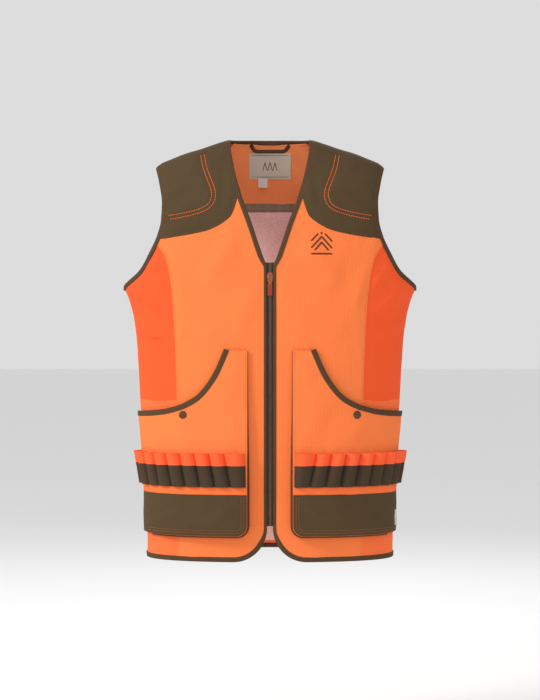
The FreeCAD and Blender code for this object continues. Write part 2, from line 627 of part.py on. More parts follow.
def slider():
    place = FreeCAD.Placement(V(0, ZIP_Y, size("slider_up")), FreeCAD.Rotation())
    wide, tall = size("slider_wide") / 2, size("slider_half")
    shield = [(-wide, 2), (-wide + 1.2, tall), (wide - 1.2, tall), (wide, 2), (wide - 1, -tall),
              (-wide + 1, -tall)]
    channel, plate = size("channel"), size("plate_thick")
    body = body_of("slider_body", place)
    pad(body, drawn(body, "XZ_Plane", shield, channel), "sizes.plate_thick")
    half_blade = size("blade_thick") / 2
    blade = box_points(-half_blade, half_blade, -1, tall - 1)
    pad(body, drawn(body, "XZ_Plane", blade, -channel - 0.2), "2 * sizes.channel + 0.4")
    pad(body, drawn(body, "XZ_Plane", shield, -channel - plate), "sizes.plate_thick")
    front = channel + plate
    out, drop = size("bar_out"), size("bar_drop")
    arch = [(-front + 0.1, 5.0), (-out - 1.3, 3.6), (-out - 1.75, 2.6), (-out - 1.75, -3.4),
            (-out - 1.3, -4.2), (-front + 0.1, -4.8)]
    hole = box_points(-out - 0.95, -front - 0.35, -drop - 1.1, 2.4)
    half_arch = size("arch_wide") / 2
    pad(body, drawn(body, "YZ_Plane", arch, -half_arch), "sizes.arch_wide")
    cut = drawn(body, "YZ_Plane", hole, -half_arch - 1)
    made = pad(body, cut, "sizes.arch_wide + 2", "PartDesign::Pocket")
    made.Reversed = True
    bar = place.multiply(FreeCAD.Placement(V(0, -out, -drop), FreeCAD.Rotation()))
    link = body_of("pull_link", bar)
    leg_in, leg_out = half_arch + 0.4, half_arch + 1.5
    thick, radius = size("link_thick"), size("bar_radius")
    frame = [(-leg_out, radius), (leg_out, radius), (leg_out, -6.5), (3.0, -8), (3.0, -12.6),
             (-3.0, -12.6), (-3.0, -8), (-leg_out, -6.5)]
    pad(link, drawn(link, "XZ_Plane", frame, -thick / 2), "sizes.link_thick")
    made = pad(link, drawn(link, "XZ_Plane", box_points(-leg_in, leg_in, -5.6, -radius),
                           -thick), "2 * sizes.link_thick", "PartDesign::Pocket")
    made.Reversed = True
    made = pad(link, drawn(link, "XZ_Plane", box_points(-1.6, 1.6, -11.4, -9.2), -thick),
               "2 * sizes.link_thick", "PartDesign::Pocket")
    made.Reversed = True
    tab = body_of("pull_tab", bar)
    half_tab, half_thick = size("tab_wide") / 2, size("tab_thick") / 2
    long = -8.6 - size("tab_long")
    shape = [(-half_tab, -9.6), (-half_tab + 1.2, -8.6), (half_tab - 1.2, -8.6),
             (half_tab, -9.6), (half_tab, long + 2), (half_tab - 2, long),
             (-half_tab + 2, long), (-half_tab, long + 2)]
    pad(tab, drawn(tab, "XZ_Plane", shape, -half_thick), "sizes.tab_thick")
    room = drawn(tab, "XZ_Plane", box_points(-3.1, 3.1, -12.8, 0), -thick / 2 - 0.1)
    made = pad(tab, room, "sizes.link_thick + 0.2", "PartDesign::Pocket")
    made.Reversed = True


def neck_hardware():
    half, drop, wide = size("hanger_half"), size("hanger_drop"), size("hanger_wide")
    place = FreeCAD.Placement(V(0, size("hanger_back"), size("hanger_up")), FreeCAD.Rotation())
    loop = body_of("hanger_loop", place)
    foot = half - 11
    outer = [(-half, 0), (-foot, -drop), (foot, -drop), (half, 0), (half - wide - 2, 0),
             (foot - 3, -drop + wide), (-foot + 3, -drop + wide), (-half + wide + 2, 0)]
    pad(loop, drawn(loop, "XZ_Plane", outer, -size("hanger_thick") / 2), "sizes.hanger_thick")
    tag = doc.addObject("Part::Box", "size_tag")
    for side, alias in (("Length", "tag_wide"), ("Width", "tag_thick"), ("Height", "tag_tall")):
        tag.setExpression(side, "sizes." + alias)
    up = size("label_low") - 1.0
    inside = on_body(2 - turn_at(size("tag_out") + size("tag_wide"), up), up)
    tag.Placement.Base = V(-size("tag_out") - size("tag_wide") / 2, inside.y - 8.0,
                           up - size("tag_tall"))
    named(tag, "size_tag")


def small_cloth():
    up, out, half = size("emblem_up"), size("emblem_out"), size("emblem_half")
    reach = lambda z: half * (1 - abs(z - up) / (half + 1.5))
    keep("chest_emblem", cloth(spread(up - half, up, 4) + spread(up + 6, up + half, 3),
                               lambda z: turn_at(out - reach(z), z),
                               lambda z: turn_at(out + reach(z), z), 0.2, 1.0, steps=6))
    skin = size("pocket_cloth")
    keep("side_tag", cloth(spread(57, 84, 3), lambda z: 0.845, lambda z: 0.885,
                           off_pocket(skin + 1.4), off_pocket(skin + 2.6), steps=4))


for make in (front_panels, side_panels, back_panel, shoulder_patches, shoulder_pads, bindings,
             inside_pieces, pocket_panels, gussets, loops, snaps, zip_halves, slider,
             neck_hardware, small_cloth):
    make()
doc.recompute()

for thing in doc.Objects:
    if "Invalid" in thing.State or "Error" in thing.State:
        raise RuntimeError(f"{thing.Label} did not build: {thing.State}")
os.makedirs("parts", exist_ok=True)
for piece in PIECES:
    solid = piece.Shape
    if solid.isNull() or not solid.isValid() or len(solid.Solids) != 1:
        raise RuntimeError(f"{piece.Label} is not one sound solid")
    solid.exportStep(f"parts/{piece.Label}.step")
print(len(PIECES), "pieces")
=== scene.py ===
"""The looks of a sleeveless field vest: sewn cloth on its worn shape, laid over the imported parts.
Lengths in the shape functions are millimetres, as in the CAD part; meshes are metres."""

import math

import bpy
import numpy as np
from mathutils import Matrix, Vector, noise
from mathutils.bvhtree import BVHTree
from mathutils.geometry import delaunay_2d_cdt


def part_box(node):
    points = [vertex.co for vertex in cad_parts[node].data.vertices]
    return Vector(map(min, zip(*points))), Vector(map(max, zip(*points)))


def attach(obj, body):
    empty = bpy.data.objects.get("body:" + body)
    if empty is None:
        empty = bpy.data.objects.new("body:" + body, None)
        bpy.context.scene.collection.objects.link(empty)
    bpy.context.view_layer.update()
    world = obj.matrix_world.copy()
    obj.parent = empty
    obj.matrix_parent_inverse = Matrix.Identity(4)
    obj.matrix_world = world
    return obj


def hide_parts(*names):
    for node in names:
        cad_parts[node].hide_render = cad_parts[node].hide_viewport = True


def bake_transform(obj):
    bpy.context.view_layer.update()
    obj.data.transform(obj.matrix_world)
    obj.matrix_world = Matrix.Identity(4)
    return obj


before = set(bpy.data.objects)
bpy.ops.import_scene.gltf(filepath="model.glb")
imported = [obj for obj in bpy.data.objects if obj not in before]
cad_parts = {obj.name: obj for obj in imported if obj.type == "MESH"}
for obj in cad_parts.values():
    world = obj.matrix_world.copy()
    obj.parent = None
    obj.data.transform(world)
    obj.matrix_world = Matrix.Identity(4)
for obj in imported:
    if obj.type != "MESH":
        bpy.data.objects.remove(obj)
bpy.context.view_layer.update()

# ------------------------------------------------------------------ the worn surface


def through(points):
    """A smooth curve through (at, value) points that never overshoots them."""
    at = np.array([p[0] for p in points], float)
    to = np.array([p[1] for p in points], float)
    slope = np.diff(to) / np.diff(at)
    lean = np.zeros(len(at))
    lean[0], lean[-1] = slope[0], slope[-1]
    for i, (one, two) in enumerate(zip(slope, slope[1:])):
        lean[i + 1] = 0.0 if one * two <= 0 else 2 * one * two / (one + two)

    def value(q):
        q = np.clip(np.asarray(q, float), at[0], at[-1])
        i = np.clip(np.searchsorted(at, q, side="right") - 1, 0, len(at) - 2)
        step = at[i + 1] - at[i]
        u = (q - at[i]) / step
        return (to[i] * (1 + 2 * u) * (1 - u) ** 2 + lean[i] * step * u * (1 - u) ** 2
                + to[i + 1] * u * u * (3 - 2 * u) + lean[i + 1] * step * u * u * (u - 1))

    return value


HEM, WAIST, ARMPIT, SHOULDER, NECK = 219.0, 236.0, 260.0, 203.0, 70.0
FRONT, BACK, SEAM_Y, POWER = 112.0, 119.0, 8.7, 2.5
UP_ARM, UP_SHOULDER, UP_NECK, TOP, PATCH_LOW = 480.0, 690.0, 741.0, 746.0, 560.0
CLOTH, BIND, ZIP_EDGE, ZIP_BIND = 2.0, 8.4, 5.6, 5.2
CORNER = 58.0          # radius of the hem's corner by the zip
TUCK = 2.4             # how far a panel's edge lies under its binding
GIRTH = 300.0          # length of one turn where cloth is laid out flat
MM = 1000.0            # millimetres in a metre
FAR = 1e9              # farther than any place on the vest
OTHER_SIDE = np.array([-1, 1, 1])      # takes a place to the other side of the vest

half_width = through([
    (0, HEM), (100, HEM), (205, HEM + 7), (277, WAIST - 4), (366, WAIST + 1),
    (420, WAIST + 7), (455, ARMPIT - 8), (UP_ARM, ARMPIT), (520, ARMPIT - 4),
    (560, ARMPIT - 11), (600, ARMPIT - 19), (640, ARMPIT - 30), (670, SHOULDER + 12),
    (UP_SHOULDER, SHOULDER), (UP_NECK, NECK), (TOP, NECK - 12)])
front_depth = through([
    (0, FRONT), (530, FRONT), (570, FRONT - 5), (620, FRONT - 17), (660, FRONT - 34),
    (UP_SHOULDER, FRONT - 52), (UP_NECK, 35), (TOP, 31)])
back_depth = through([
    (0, BACK - 6), (200, BACK - 14), (300, BACK - 16), (400, BACK - 8), (500, BACK),
    (560, BACK - 1), (620, BACK - 9), (660, BACK - 23), (UP_SHOULDER, BACK - 40),
    (UP_NECK, 50), (TOP, 45)])


def on_body(turn, z, side_out=0.0, face_out=0.0):
    """Points of the worn surface: turn 0 is the front centre, 1 the side seam, 2 the back."""
    turn, z = np.asarray(turn, float), np.asarray(z, float)
    angle = turn * math.pi / 2
    x = (half_width(z) + side_out) * np.sign(np.sin(angle)) * np.abs(np.sin(angle)) ** (2 / POWER)
    across = np.abs(np.cos(angle)) ** (2 / POWER)
    front = (turn <= 1) | (turn >= 3)
    y = SEAM_Y + np.where(front, -(front_depth(z) + face_out), back_depth(z) + face_out) * across
    return np.stack([x, y, z * np.ones_like(x)], axis=-1)


def facing(turn, z, side_out=0.0, face_out=0.0):
    """The outward direction of the surface."""
    turn = np.asarray(turn, float)
    lift = np.where(np.abs(turn - 2) < 0.003, 0.004, 0.0) + np.where(turn < 0.003, 0.004, 0.0)
    turn = turn + lift
    step = 0.001
    along = on_body(turn + step, z, side_out, face_out) - on_body(turn - step, z, side_out,
                                                                  face_out)
    up = on_body(turn, np.asarray(z) + 0.5) - on_body(turn, np.asarray(z) - 0.5)
    out = np.cross(along, up)
    return out / np.linalg.norm(out, axis=-1, keepdims=True)


def turn_at(x, z):
    """The turn of the front at which the surface is x from the centre line."""
    share = np.clip(np.asarray(x, float) / half_width(z), 0.0, 1.0)
    return np.arcsin(share ** (POWER / 2)) * 2 / math.pi


NECK_POINTS = [(512, ZIP_EDGE), (524, 11), (586, 32), (636, 50), (690, 64), (730, 70),
               (UP_NECK, NECK)]
ARM_POINTS = [(UP_ARM, ARMPIT), (506, 228), (537, 210), (565, 197), (593, 190),
              (622, 189), (660, 195), (UP_SHOULDER, SHOULDER)]
MOUTH_POINTS = [(258, 228), (263, 182), (274, 147), (291, 121), (328, 95), (367, 78)]
neck_edge = through(NECK_POINTS)
armhole_edge = through(ARM_POINTS)
mouth_edge = through(MOUTH_POINTS)
side_seam_x = through([(0, 160), (280, 162), (400, 166), (470, 171), (520, 180), (540, 190),
                       (556, 204)])
patch_edge = through([(PATCH_LOW, 184), (563, 162), (567, 136), (574, 106), (587, 81),
                      (600, 67), (630, 57), (640, 55)])
PATCH_BACK = 66.0


def run_of(points):
    """How far along a line each of its points is."""
    return np.concatenate([[0], np.cumsum(np.linalg.norm(np.diff(points, axis=0), axis=1))])


def away_from(line, points):
    """How far each point is from the nearest point of a line."""
    away = np.full(len(points), FAR)
    for place in line:
        away = np.minimum(away, np.linalg.norm(points - place, axis=1))
    return away


def spread(points, count):
    """A line's points, so many of them at even steps."""
    run = run_of(points)
    at = np.linspace(0, run[-1], count)
    return np.stack([np.interp(at, run, points[:, k]) for k in range(points.shape[1])], axis=-1)


def softened(points, times):
    """A line with its corners eased, its ends kept."""
    points = points.copy()
    for _ in range(times):
        points[1:-1] = (points[:-2] + 2 * points[1:-1] + points[2:]) / 4
    return points


def resample(path, step):
    """Points of a line of (turn, level) pairs at even steps along the cloth."""
    path = np.array(path, float)
    run = run_of(on_body(path[:, 0], path[:, 1]))
    at = np.linspace(0, run[-1], max(2, int(round(run[-1] / step)) + 1))
    return np.stack([np.interp(at, run, path[:, k]) for k in (0, 1)], axis=-1)


def along_z(edge, low, high, step=2.0, back=False):
    """The (turn, level) points of an edge given as its distance from the centre line."""
    z = np.linspace(low, high, max(2, int(abs(high - low) / step) + 1))
    turn = turn_at(edge(z), z)
    return list(zip(2 - turn if back else turn, z))


def rounded(x0, z0, radius, count):
    """A quarter circle of (turn, level) points, from a bottom edge up to an inner edge."""
    points = []
    for i in range(count):
        angle = math.pi / 2 * i / (count - 1)
        x = x0 + radius * (1 - math.sin(angle))
        z = z0 + radius * (1 - math.cos(angle))
        points.append((float(turn_at(x, z)), z))
    return points


# ------------------------------------------------------------------ meshes

def soft_noise(points, scale, seed):
    """Smooth noise between -1 and 1 at each point."""
    shift = Vector((seed * 13.7, seed * 5.1, seed * 9.3))
    return np.array([noise.noise(Vector(p) / scale + shift) for p in points])


def folds(points, lines, side):
    """Cloth folds: each line is (x, z, x, z, half width, height) in the front view."""
    lift = np.zeros(len(points))
    x, z = points[:, 0] * side, points[:, 2]
    for x0, z0, x1, z1, wide, high in lines:
        dx, dz = x1 - x0, z1 - z0
        length2 = dx * dx + dz * dz
        t = np.clip(((x - x0) * dx + (z - z0) * dz) / length2, -0.3, 1.3)
        away = np.hypot(x - x0 - t * dx, z - z0 - t * dz)
        fade = np.clip(1 - np.abs(t - 0.5) * 1.6 + 0.3, 0, 1)
        lift += high * fade * fade * (3 - 2 * fade) * np.exp(-(away / wide) ** 2)
    return lift


def flip(faces):
    """The same faces, looking the other way."""
    return [tuple(reversed(f)) for f in faces]


def faces_out(points, faces, inside):
    """The faces turned so that the first looks away from a point inside."""
    a, b, c = (points[v] for v in faces[0][:3])
    return flip(faces) if np.dot(np.cross(b - a, c - a), a - inside) < 0 else faces


def add_mesh(name, points, faces, material, uv=None, sharp=50, mirror=False):
    """A piece of the visual model. Mirrored, it goes to the other side of the vest."""
    points = np.asarray(points)
    if mirror:
        points, faces = points * OTHER_SIDE, flip(faces)
    mesh = bpy.data.meshes.new(name)
    mesh.from_pydata((points / MM).tolist(), [], faces)
    mesh.validate()
    if uv is not None:
        layer = mesh.uv_layers.new(name="cloth")
        index = np.zeros(len(mesh.loops), int)
        mesh.loops.foreach_get("vertex_index", index)
        layer.data.foreach_set("uv", (np.asarray(uv)[index] / MM).ravel())
    mesh.polygons.foreach_set("use_smooth", [True] * len(mesh.polygons))
    mesh.set_sharp_from_angle(angle=math.radians(sharp))
    thing = bpy.data.objects.new(name, mesh)
    bpy.context.scene.collection.objects.link(thing)
    mesh.materials.append(material)
    return thing


def shell(front, rear):
    """The points and faces of two layers of cloth, each a grid of points, closed at the rim."""
    n, m = front.shape[:2]
    half = n * m
    faces = []
    for i in range(n - 1):
        for j in range(m - 1):
            a = i * m + j
            faces.append((a, a + 1, a + m + 1, a + m))
            faces.append((half + a, half + a + m, half + a + m + 1, half + a + 1))
    for j in range(m - 1):
        a, b = j, (n - 1) * m + j
        faces.append((a, a + half, a + half + 1, a + 1))
        faces.append((b, b + 1, b + 1 + half, b + half))
    for i in range(n - 1):
        a, b = i * m, i * m + m - 1
        faces.append((a, a + m, a + m + half, a + half))
        faces.append((b, b + half, b + m + half, b + m))
    return np.vstack([front.reshape(-1, 3), rear.reshape(-1, 3)]), faces


def panel(name, loop, material, out=0.0, thick=1.2, step=5.0, bumps=None, off=None,
          mirror=False):
    """A piece of cloth inside a closed loop of (turn, level) points. bumps gives how far each
    of its points stands out; off gives the sideways and forward offsets at a level."""
    loop = resample(list(loop) + [loop[0]], step * 0.7)[:-1]
    flat = loop * np.array([GIRTH, 1.0])
    low, high = flat.min(0), flat.max(0)
    grid = np.stack(np.meshgrid(np.arange(low[0] + step / 2, high[0], step),
                                np.arange(low[1] + step / 2, high[1], step * 0.9)), -1)
    grid[1::2, :, 0] += step / 2
    grid = grid.reshape(-1, 2)
    nxt = np.roll(flat, -1, axis=0)
    inside = np.zeros(len(grid), bool)
    near = np.full(len(grid), FAR)
    for (ax, ay), (bx, by) in zip(flat, nxt):
        crosses = (ay > grid[:, 1]) != (by > grid[:, 1])
        if ay != by:
            inside ^= crosses & (grid[:, 0] < (bx - ax) * (grid[:, 1] - ay) / (by - ay) + ax)
        near = np.minimum(near, np.hypot(grid[:, 0] - ax, grid[:, 1] - ay))
    grid = grid[inside & (near > step * 0.55)]
    verts = [Vector(p) for p in flat] + [Vector(p) for p in grid]
    rim = [(i, (i + 1) % len(flat)) for i in range(len(flat))]
    found, _, faces, _, _, _ = delaunay_2d_cdt(verts, rim, [], 1, 1e-5)
    flat_all = np.array([tuple(v) for v in found])
    turn, z = flat_all[:, 0] / GIRTH, flat_all[:, 1]
    sides, fronts = off(z) if off else (0.0, 0.0)
    base = on_body(turn, z, sides, fronts)
    normal = facing(turn, z, sides, fronts)
    lift = bumps(base, turn, z) if bumps else 0.0
    outer = base + normal * np.broadcast_to(out + lift, len(base))[:, None]
    inner = outer - normal * thick
    count = len(outer)
    top = [tuple(f) for f in faces]
    corner = top[0][0]
    top = faces_out(outer, top, outer[corner] - normal[corner])
    used = dict.fromkeys(pair for f in top for pair in zip(f, f[1:] + f[:1]))
    edge = [(i, j) for i, j in used if (j, i) not in used]
    solid = top + [tuple(v + count for v in reversed(f)) for f in top]
    solid += [(j, i, i + count, j + count) for i, j in edge]
    thing = add_mesh(name, np.vstack([outer, inner]), solid, material,
                     np.vstack([flat_all, flat_all]), mirror=mirror)
    return thing


def frames(path, off=None):
    """The places of (turn, level) points and the way the cloth faces there."""
    path = np.asarray(path, float)
    sides, fronts = off(path[:, 1]) if off else (0.0, 0.0)
    place = on_body(path[:, 0], path[:, 1], sides, fronts)
    return place, facing(path[:, 0], path[:, 1], sides, fronts)


def across_of(place, out):
    """The way across a line on the cloth, square to the line and to the way out."""
    along = np.gradient(place, axis=0)
    along /= np.linalg.norm(along, axis=1, keepdims=True)
    across = np.cross(out, along)
    return across / np.linalg.norm(across, axis=1, keepdims=True)


def tube(name, place, out, side, s0, s1, n0, n1, material, rounds=3.2, count=14, wave=0.12,
         mirror=False):
    """Flat tape swept along a line: s runs across it into the cloth, n out of the cloth."""
    across = across_of(place, out) * side
    s0, s1 = np.broadcast_to(s0, len(place)), np.broadcast_to(s1, len(place))
    wobble = np.array([noise.noise(Vector(p) / 9 + Vector((1, 0, 0))) for p in place]) * wave
    rings = []
    for k in range(count):
        a = 2 * math.pi * k / count
        c, s = math.cos(a), math.sin(a)
        ps = math.copysign(abs(c) ** (2 / rounds), c)
        pn = math.copysign(abs(s) ** (2 / rounds), s)
        reach = (s0 + s1) / 2 + (s1 - s0) / 2 * ps
        rise = (n0 + n1) / 2 + (n1 - n0) / 2 * pn + wobble * (1 if pn > 0 else 0.3)
        rings.append(place + across * reach[:, None] + out * rise[:, None])
    rings = np.stack(rings, axis=1)
    rows = len(place)
    points = rings.reshape(-1, 3)
    faces = []
    for i in range(rows - 1):
        for k in range(count):
            m = (k + 1) % count
            j = i + 1
            faces.append((i * count + k, j * count + k, j * count + m, i * count + m))
    faces.append(tuple(range(count)))
    faces.append(tuple((rows - 1) * count + k for k in reversed(range(count))))
    uv = np.stack([np.tile(np.arange(count) * 1.6, rows), np.repeat(run_of(place), count)], -1)
    faces = faces_out(points, faces, rings[0].mean(0))
    return add_mesh(name, points, faces, material, uv, sharp=60, mirror=mirror)


def drape(line, out, on, mirror=False):
    """The same line, laid on the outside of a piece."""
    tree = BVHTree.FromPolygons([v.co * MM for v in on.data.vertices],
                                [tuple(p.vertices) for p in on.data.polygons])
    across = OTHER_SIDE if mirror else np.ones(3)
    laid = line.copy()
    for i, (point, ahead) in enumerate(zip(line * across, out * across)):
        hit = tree.ray_cast(Vector(point + ahead * 12), Vector(-ahead), 24)
        if hit[0] is not None:
            laid[i] = np.array(hit[0]) * across
    return laid


def stitches(name, place, out, side, s, n, material, long=2.6, gap=1.1, radius=0.38,
             mirror=False, on=None):
    """A row of sewn stitches beside a line, each a short rounded thread. Given a piece to lie
    on, the row follows its folds."""
    across = across_of(place, out)
    line = place + across * side * s + out * n
    if on is not None:
        line = drape(line, out, on, mirror) + out * 0.2
    run = run_of(line)
    points, faces = [], []
    shape = [(0.0, 0.25, -0.35), (0.22, 1.0, 0.0), (0.78, 1.0, 0.0), (1.0, 0.25, -0.35)]
    ring = 6
    for start in np.arange(gap, run[-1] - long, long + gap):
        base = len(points)
        for share, fat, sink in shape:
            at = start + share * long
            centre, o, c = (np.array([np.interp(at, run, way[:, k]) for k in range(3)])
                            for way in (line, out, across))
            for k in range(ring):
                a = 2 * math.pi * k / ring
                points.append(centre + o * (sink + radius * fat * 0.8 * math.sin(a))
                              + c * radius * fat * math.cos(a))
        for i in range(len(shape) - 1):
            for k in range(ring):
                m = (k + 1) % ring
                faces.append((base + i * ring + k, base + i * ring + m,
                              base + (i + 1) * ring + m, base + (i + 1) * ring + k))
        faces.append(tuple(base + k for k in reversed(range(ring))))
        faces.append(tuple(base + 3 * ring + k for k in range(ring)))
    points = np.array(points)
    faces = faces_out(points, faces, points[:ring].mean(0))
    return add_mesh(name, points, faces, material, sharp=80, mirror=mirror)


def sew(name, path, step, side, s, n, thread, off=None, **more):
    """A row of stitches beside a line of (turn, level) points."""
    place, out = frames(resample(path, step), off)
    return stitches(name, place, out, side, s, n, thread, **more)


# ------------------------------------------------------------------ materials

def linear(red, green, blue):
    """Screen colours from 0 to 255 as the values a shader works in."""
    return tuple((c / 255 / 12.92) if c / 255 <= 0.04045 else ((c / 255 + 0.055) / 1.055) ** 2.4
                 for c in (red, green, blue)) + (1.0,)


def new_material(name):
    """A material, its node tree and its shader."""
    material = bpy.data.materials.new(name)
    material.use_nodes = True
    return material, material.node_tree, material.node_tree.nodes["Principled BSDF"]


def feed(tree, socket, value):
    """A socket takes a number or a colour, or the output of another node."""
    if isinstance(value, bpy.types.NodeSocket):
        tree.links.new(value, socket)
    else:
        socket.default_value = value


def set_inputs(node, **settings):
    """Sets a node's inputs, named in small letters."""
    for name, value in settings.items():
        node.inputs[name.replace("_", " ").title()].default_value = value


def texture(tree, kind, vector, **settings):
    """A texture read at the given coordinates."""
    node = tree.nodes.new("ShaderNodeTex" + kind)
    set_inputs(node, **settings)
    tree.links.new(vector, node.inputs["Vector"])
    return node


def maths(tree, operation, *values):
    """A sum or comparison of numbers and the outputs of other nodes."""
    node = tree.nodes.new("ShaderNodeMath")
    node.operation = operation
    for socket, value in zip(node.inputs, values):
        feed(tree, socket, value)
    return node.outputs[0]


def multiplied(tree, factor, colour, by):
    """A colour multiplied by another, as far as the factor says."""
    node = tree.nodes.new("ShaderNodeMix")
    node.data_type, node.blend_type = "RGBA", "MULTIPLY"
    for socket, value in zip((node.inputs["Factor"], node.inputs[6], node.inputs[7]),
                             (factor, colour, by)):
        feed(tree, socket, value)
    return node.outputs[2]


def raise_surface(tree, shader, height, strength, distance):
    """Fine relief on a surface."""
    node = tree.nodes.new("ShaderNodeBump")
    set_inputs(node, strength=strength, distance=distance)
    tree.links.new(height, node.inputs["Height"])
    tree.links.new(node.outputs["Normal"], shader.inputs["Normal"])


THREADS = 50.0         # wave scale that makes threads a millimetre wide
SLUB = 0.06            # how much thick and thin threads change the tone
# Painted shade: the colour that darkens the closed lining sheet where the mesh's holes would show
# the shaded inside.
MESH_HOLE_SHADE = (0.86, 0.80, 0.80, 1)


def fabric(name, colour, thread=0.9, weave=0.5, mottle=0.10, sheen=0.25, rough=0.85,
           ribs=False, holes=0.0, bump=0.35):
    """Woven cloth: crossing threads from the cloth's own coordinates, with slubs and wear."""
    material, tree, shader = new_material(name)
    cloth_place = tree.nodes.new("ShaderNodeUVMap").outputs["UV"]
    place = tree.nodes.new("ShaderNodeTexCoord").outputs["Object"]
    waves = []
    for direction in ("X", "Y"):
        wave = texture(tree, "Wave", cloth_place, scale=THREADS / thread / (1.6 if ribs else 1),
                       distortion=0.6, detail=1.0, detail_scale=2.0)
        wave.wave_type = "BANDS"
        wave.bands_direction = direction
        waves.append(wave.outputs["Fac"])
    woven = maths(tree, "MAXIMUM" if ribs else "MULTIPLY", *waves)
    wear = texture(tree, "Noise", place, scale=9.0, detail=4.0).outputs["Fac"]
    fuzz = texture(tree, "Noise", place, scale=700.0, detail=3.0).outputs["Fac"]
    shade = 1.0
    for pattern, depth in ((wear, mottle), (fuzz, SLUB), (woven, weave * 0.15)):
        tone = maths(tree, "MULTIPLY_ADD", pattern, depth * 2, 1.0 - depth)
        shade = maths(tree, "MULTIPLY", tone, shade)
    base = multiplied(tree, 1.0, colour, shade)
    # Painted shade: the lining is a closed sheet, and its holes are darkened as if the shaded
    # inside showed through them.
    if holes:
        cell = texture(tree, "Voronoi", cloth_place, scale=700.0).outputs["Distance"]
        base = multiplied(tree, maths(tree, "GREATER_THAN", cell, holes), base, MESH_HOLE_SHADE)
    tree.links.new(base, shader.inputs["Base Color"])
    raise_surface(tree, shader, maths(tree, "MULTIPLY_ADD", fuzz, 0.5, woven), bump, 0.0006)
    set_inputs(shader, roughness=rough, sheen_weight=sheen, sheen_roughness=0.5,
               sheen_tint=colour)
    shader.inputs["Specular IOR Level"].default_value = 0.2
    return material


def metal(name, colour, rough=0.38, worn=0.3):
    """Tarnished metal, darker and lighter in patches."""
    material, tree, shader = new_material(name)
    place = tree.nodes.new("ShaderNodeTexCoord").outputs["Object"]
    patina = texture(tree, "Noise", place, scale=260.0, detail=6.0).outputs["Fac"]
    ramp = tree.nodes.new("ShaderNodeValToRGB")
    for stop, at, share in zip(ramp.color_ramp.elements, (0.35, 0.7), (1 - worn, 1 + worn)):
        stop.position = at
        stop.color = tuple(min(1, c * share) for c in colour[:3]) + (1,)
    tree.links.new(patina, ramp.inputs["Fac"])
    tree.links.new(ramp.outputs["Color"], shader.inputs["Base Color"])
    set_inputs(shader, metallic=0.9, roughness=rough)
    return material


def plastic(name, colour, rough=0.45):
    """Moulded plastic with a faint grain."""
    material, tree, shader = new_material(name)
    place = tree.nodes.new("ShaderNodeTexCoord").outputs["Object"]
    grain = texture(tree, "Noise", place, scale=400.0).outputs["Fac"]
    raise_surface(tree, shader, grain, 0.15, 0.0003)
    set_inputs(shader, base_color=colour, roughness=rough)
    return material


ORANGE = fabric("light_orange_cloth", linear(250, 126, 66), weave=0.12, mottle=0.04, sheen=0.05)
SIDE_LOW = fabric("mid_orange_cloth", linear(250, 114, 60), weave=0.12, mottle=0.05, sheen=0.08)
DEEP = fabric("deep_orange_cloth", linear(246, 90, 42), weave=0.12, mottle=0.07, sheen=0.08)
LOOP_ORANGE = fabric("loop_orange_cloth", linear(254, 100, 54), weave=0.12, mottle=0.05)
TRIM_ORANGE = fabric("trim_orange_cloth", linear(254, 118, 60), weave=0.12, mottle=0.04)
OLIVE = fabric("olive_cloth", linear(80, 63, 40), thread=0.7, weave=0.25, mottle=0.16, sheen=0.12,
               bump=0.5)
OLIVE_DARK = fabric("olive_loop_cloth", linear(70, 55, 40), thread=0.7, weave=0.2, mottle=0.14,
                    sheen=0.1)
TAPE = fabric("olive_tape", linear(82, 60, 40), thread=0.8, weave=0.3, mottle=0.08, sheen=0.1,
              ribs=True, bump=0.5)
TAPE_DARK = fabric("hanger_tape", linear(66, 42, 28), thread=0.8, weave=0.3, mottle=0.08,
                   sheen=0.1, ribs=True)
# Painted shade: this dark brown, much darker than the pocket's orange, draws the shadow in the
# crevice along the pocket's inner side and foot.
GUSSET_SHADE = fabric("gusset_shade_cloth", linear(96, 52, 30), weave=0.15, mottle=0.1, sheen=0.05)
FACING = fabric("facing_cloth", linear(252, 150, 92), weave=0.12, mottle=0.05, sheen=0.08)
GREY_TAPE = fabric("grey_twill_tape", linear(140, 124, 106), weave=0.6, ribs=True)
MESH_CLOTH = fabric("mesh_lining", linear(255, 222, 214), weave=0.05, mottle=0.04, holes=0.42)
LABEL = fabric("label_cloth", linear(206, 202, 186), thread=0.5, weave=0.35, mottle=0.08,
               sheen=0.4)
LABEL_DARK = fabric("label_border", linear(92, 84, 68), thread=0.5, weave=0.35)
WHITE_TAG = fabric("white_satin", linear(226, 222, 214), thread=0.5, weave=0.3, sheen=0.5)
FOAM = fabric("pad_cover", linear(150, 96, 62), weave=0.3)
ORANGE_THREAD = fabric("orange_thread", linear(228, 98, 46), thread=0.4, weave=0.5, rough=0.6)
BRIGHT_THREAD = fabric("bright_thread", linear(232, 104, 50), thread=0.4, weave=0.4, rough=0.6)
RUST_THREAD = fabric("rust_thread", linear(158, 88, 54), thread=0.4, weave=0.4, rough=0.6)
OLIVE_THREAD = fabric("olive_thread", linear(104, 86, 60), thread=0.4, weave=0.5, rough=0.6)
BROWN_THREAD = fabric("brown_thread", linear(112, 52, 26), thread=0.45, weave=0.8, rough=0.55,
                      ribs=True, bump=0.8)
PULLER = fabric("puller_webbing", linear(150, 62, 40), thread=0.5, weave=0.7, ribs=True)
BRASS = metal("antique_brass_metal", linear(150, 84, 56))
SNAP = metal("snap_metal_finish", linear(104, 74, 54), rough=0.42)
NYLON = plastic("zip_nylon_finish", linear(52, 40, 30))

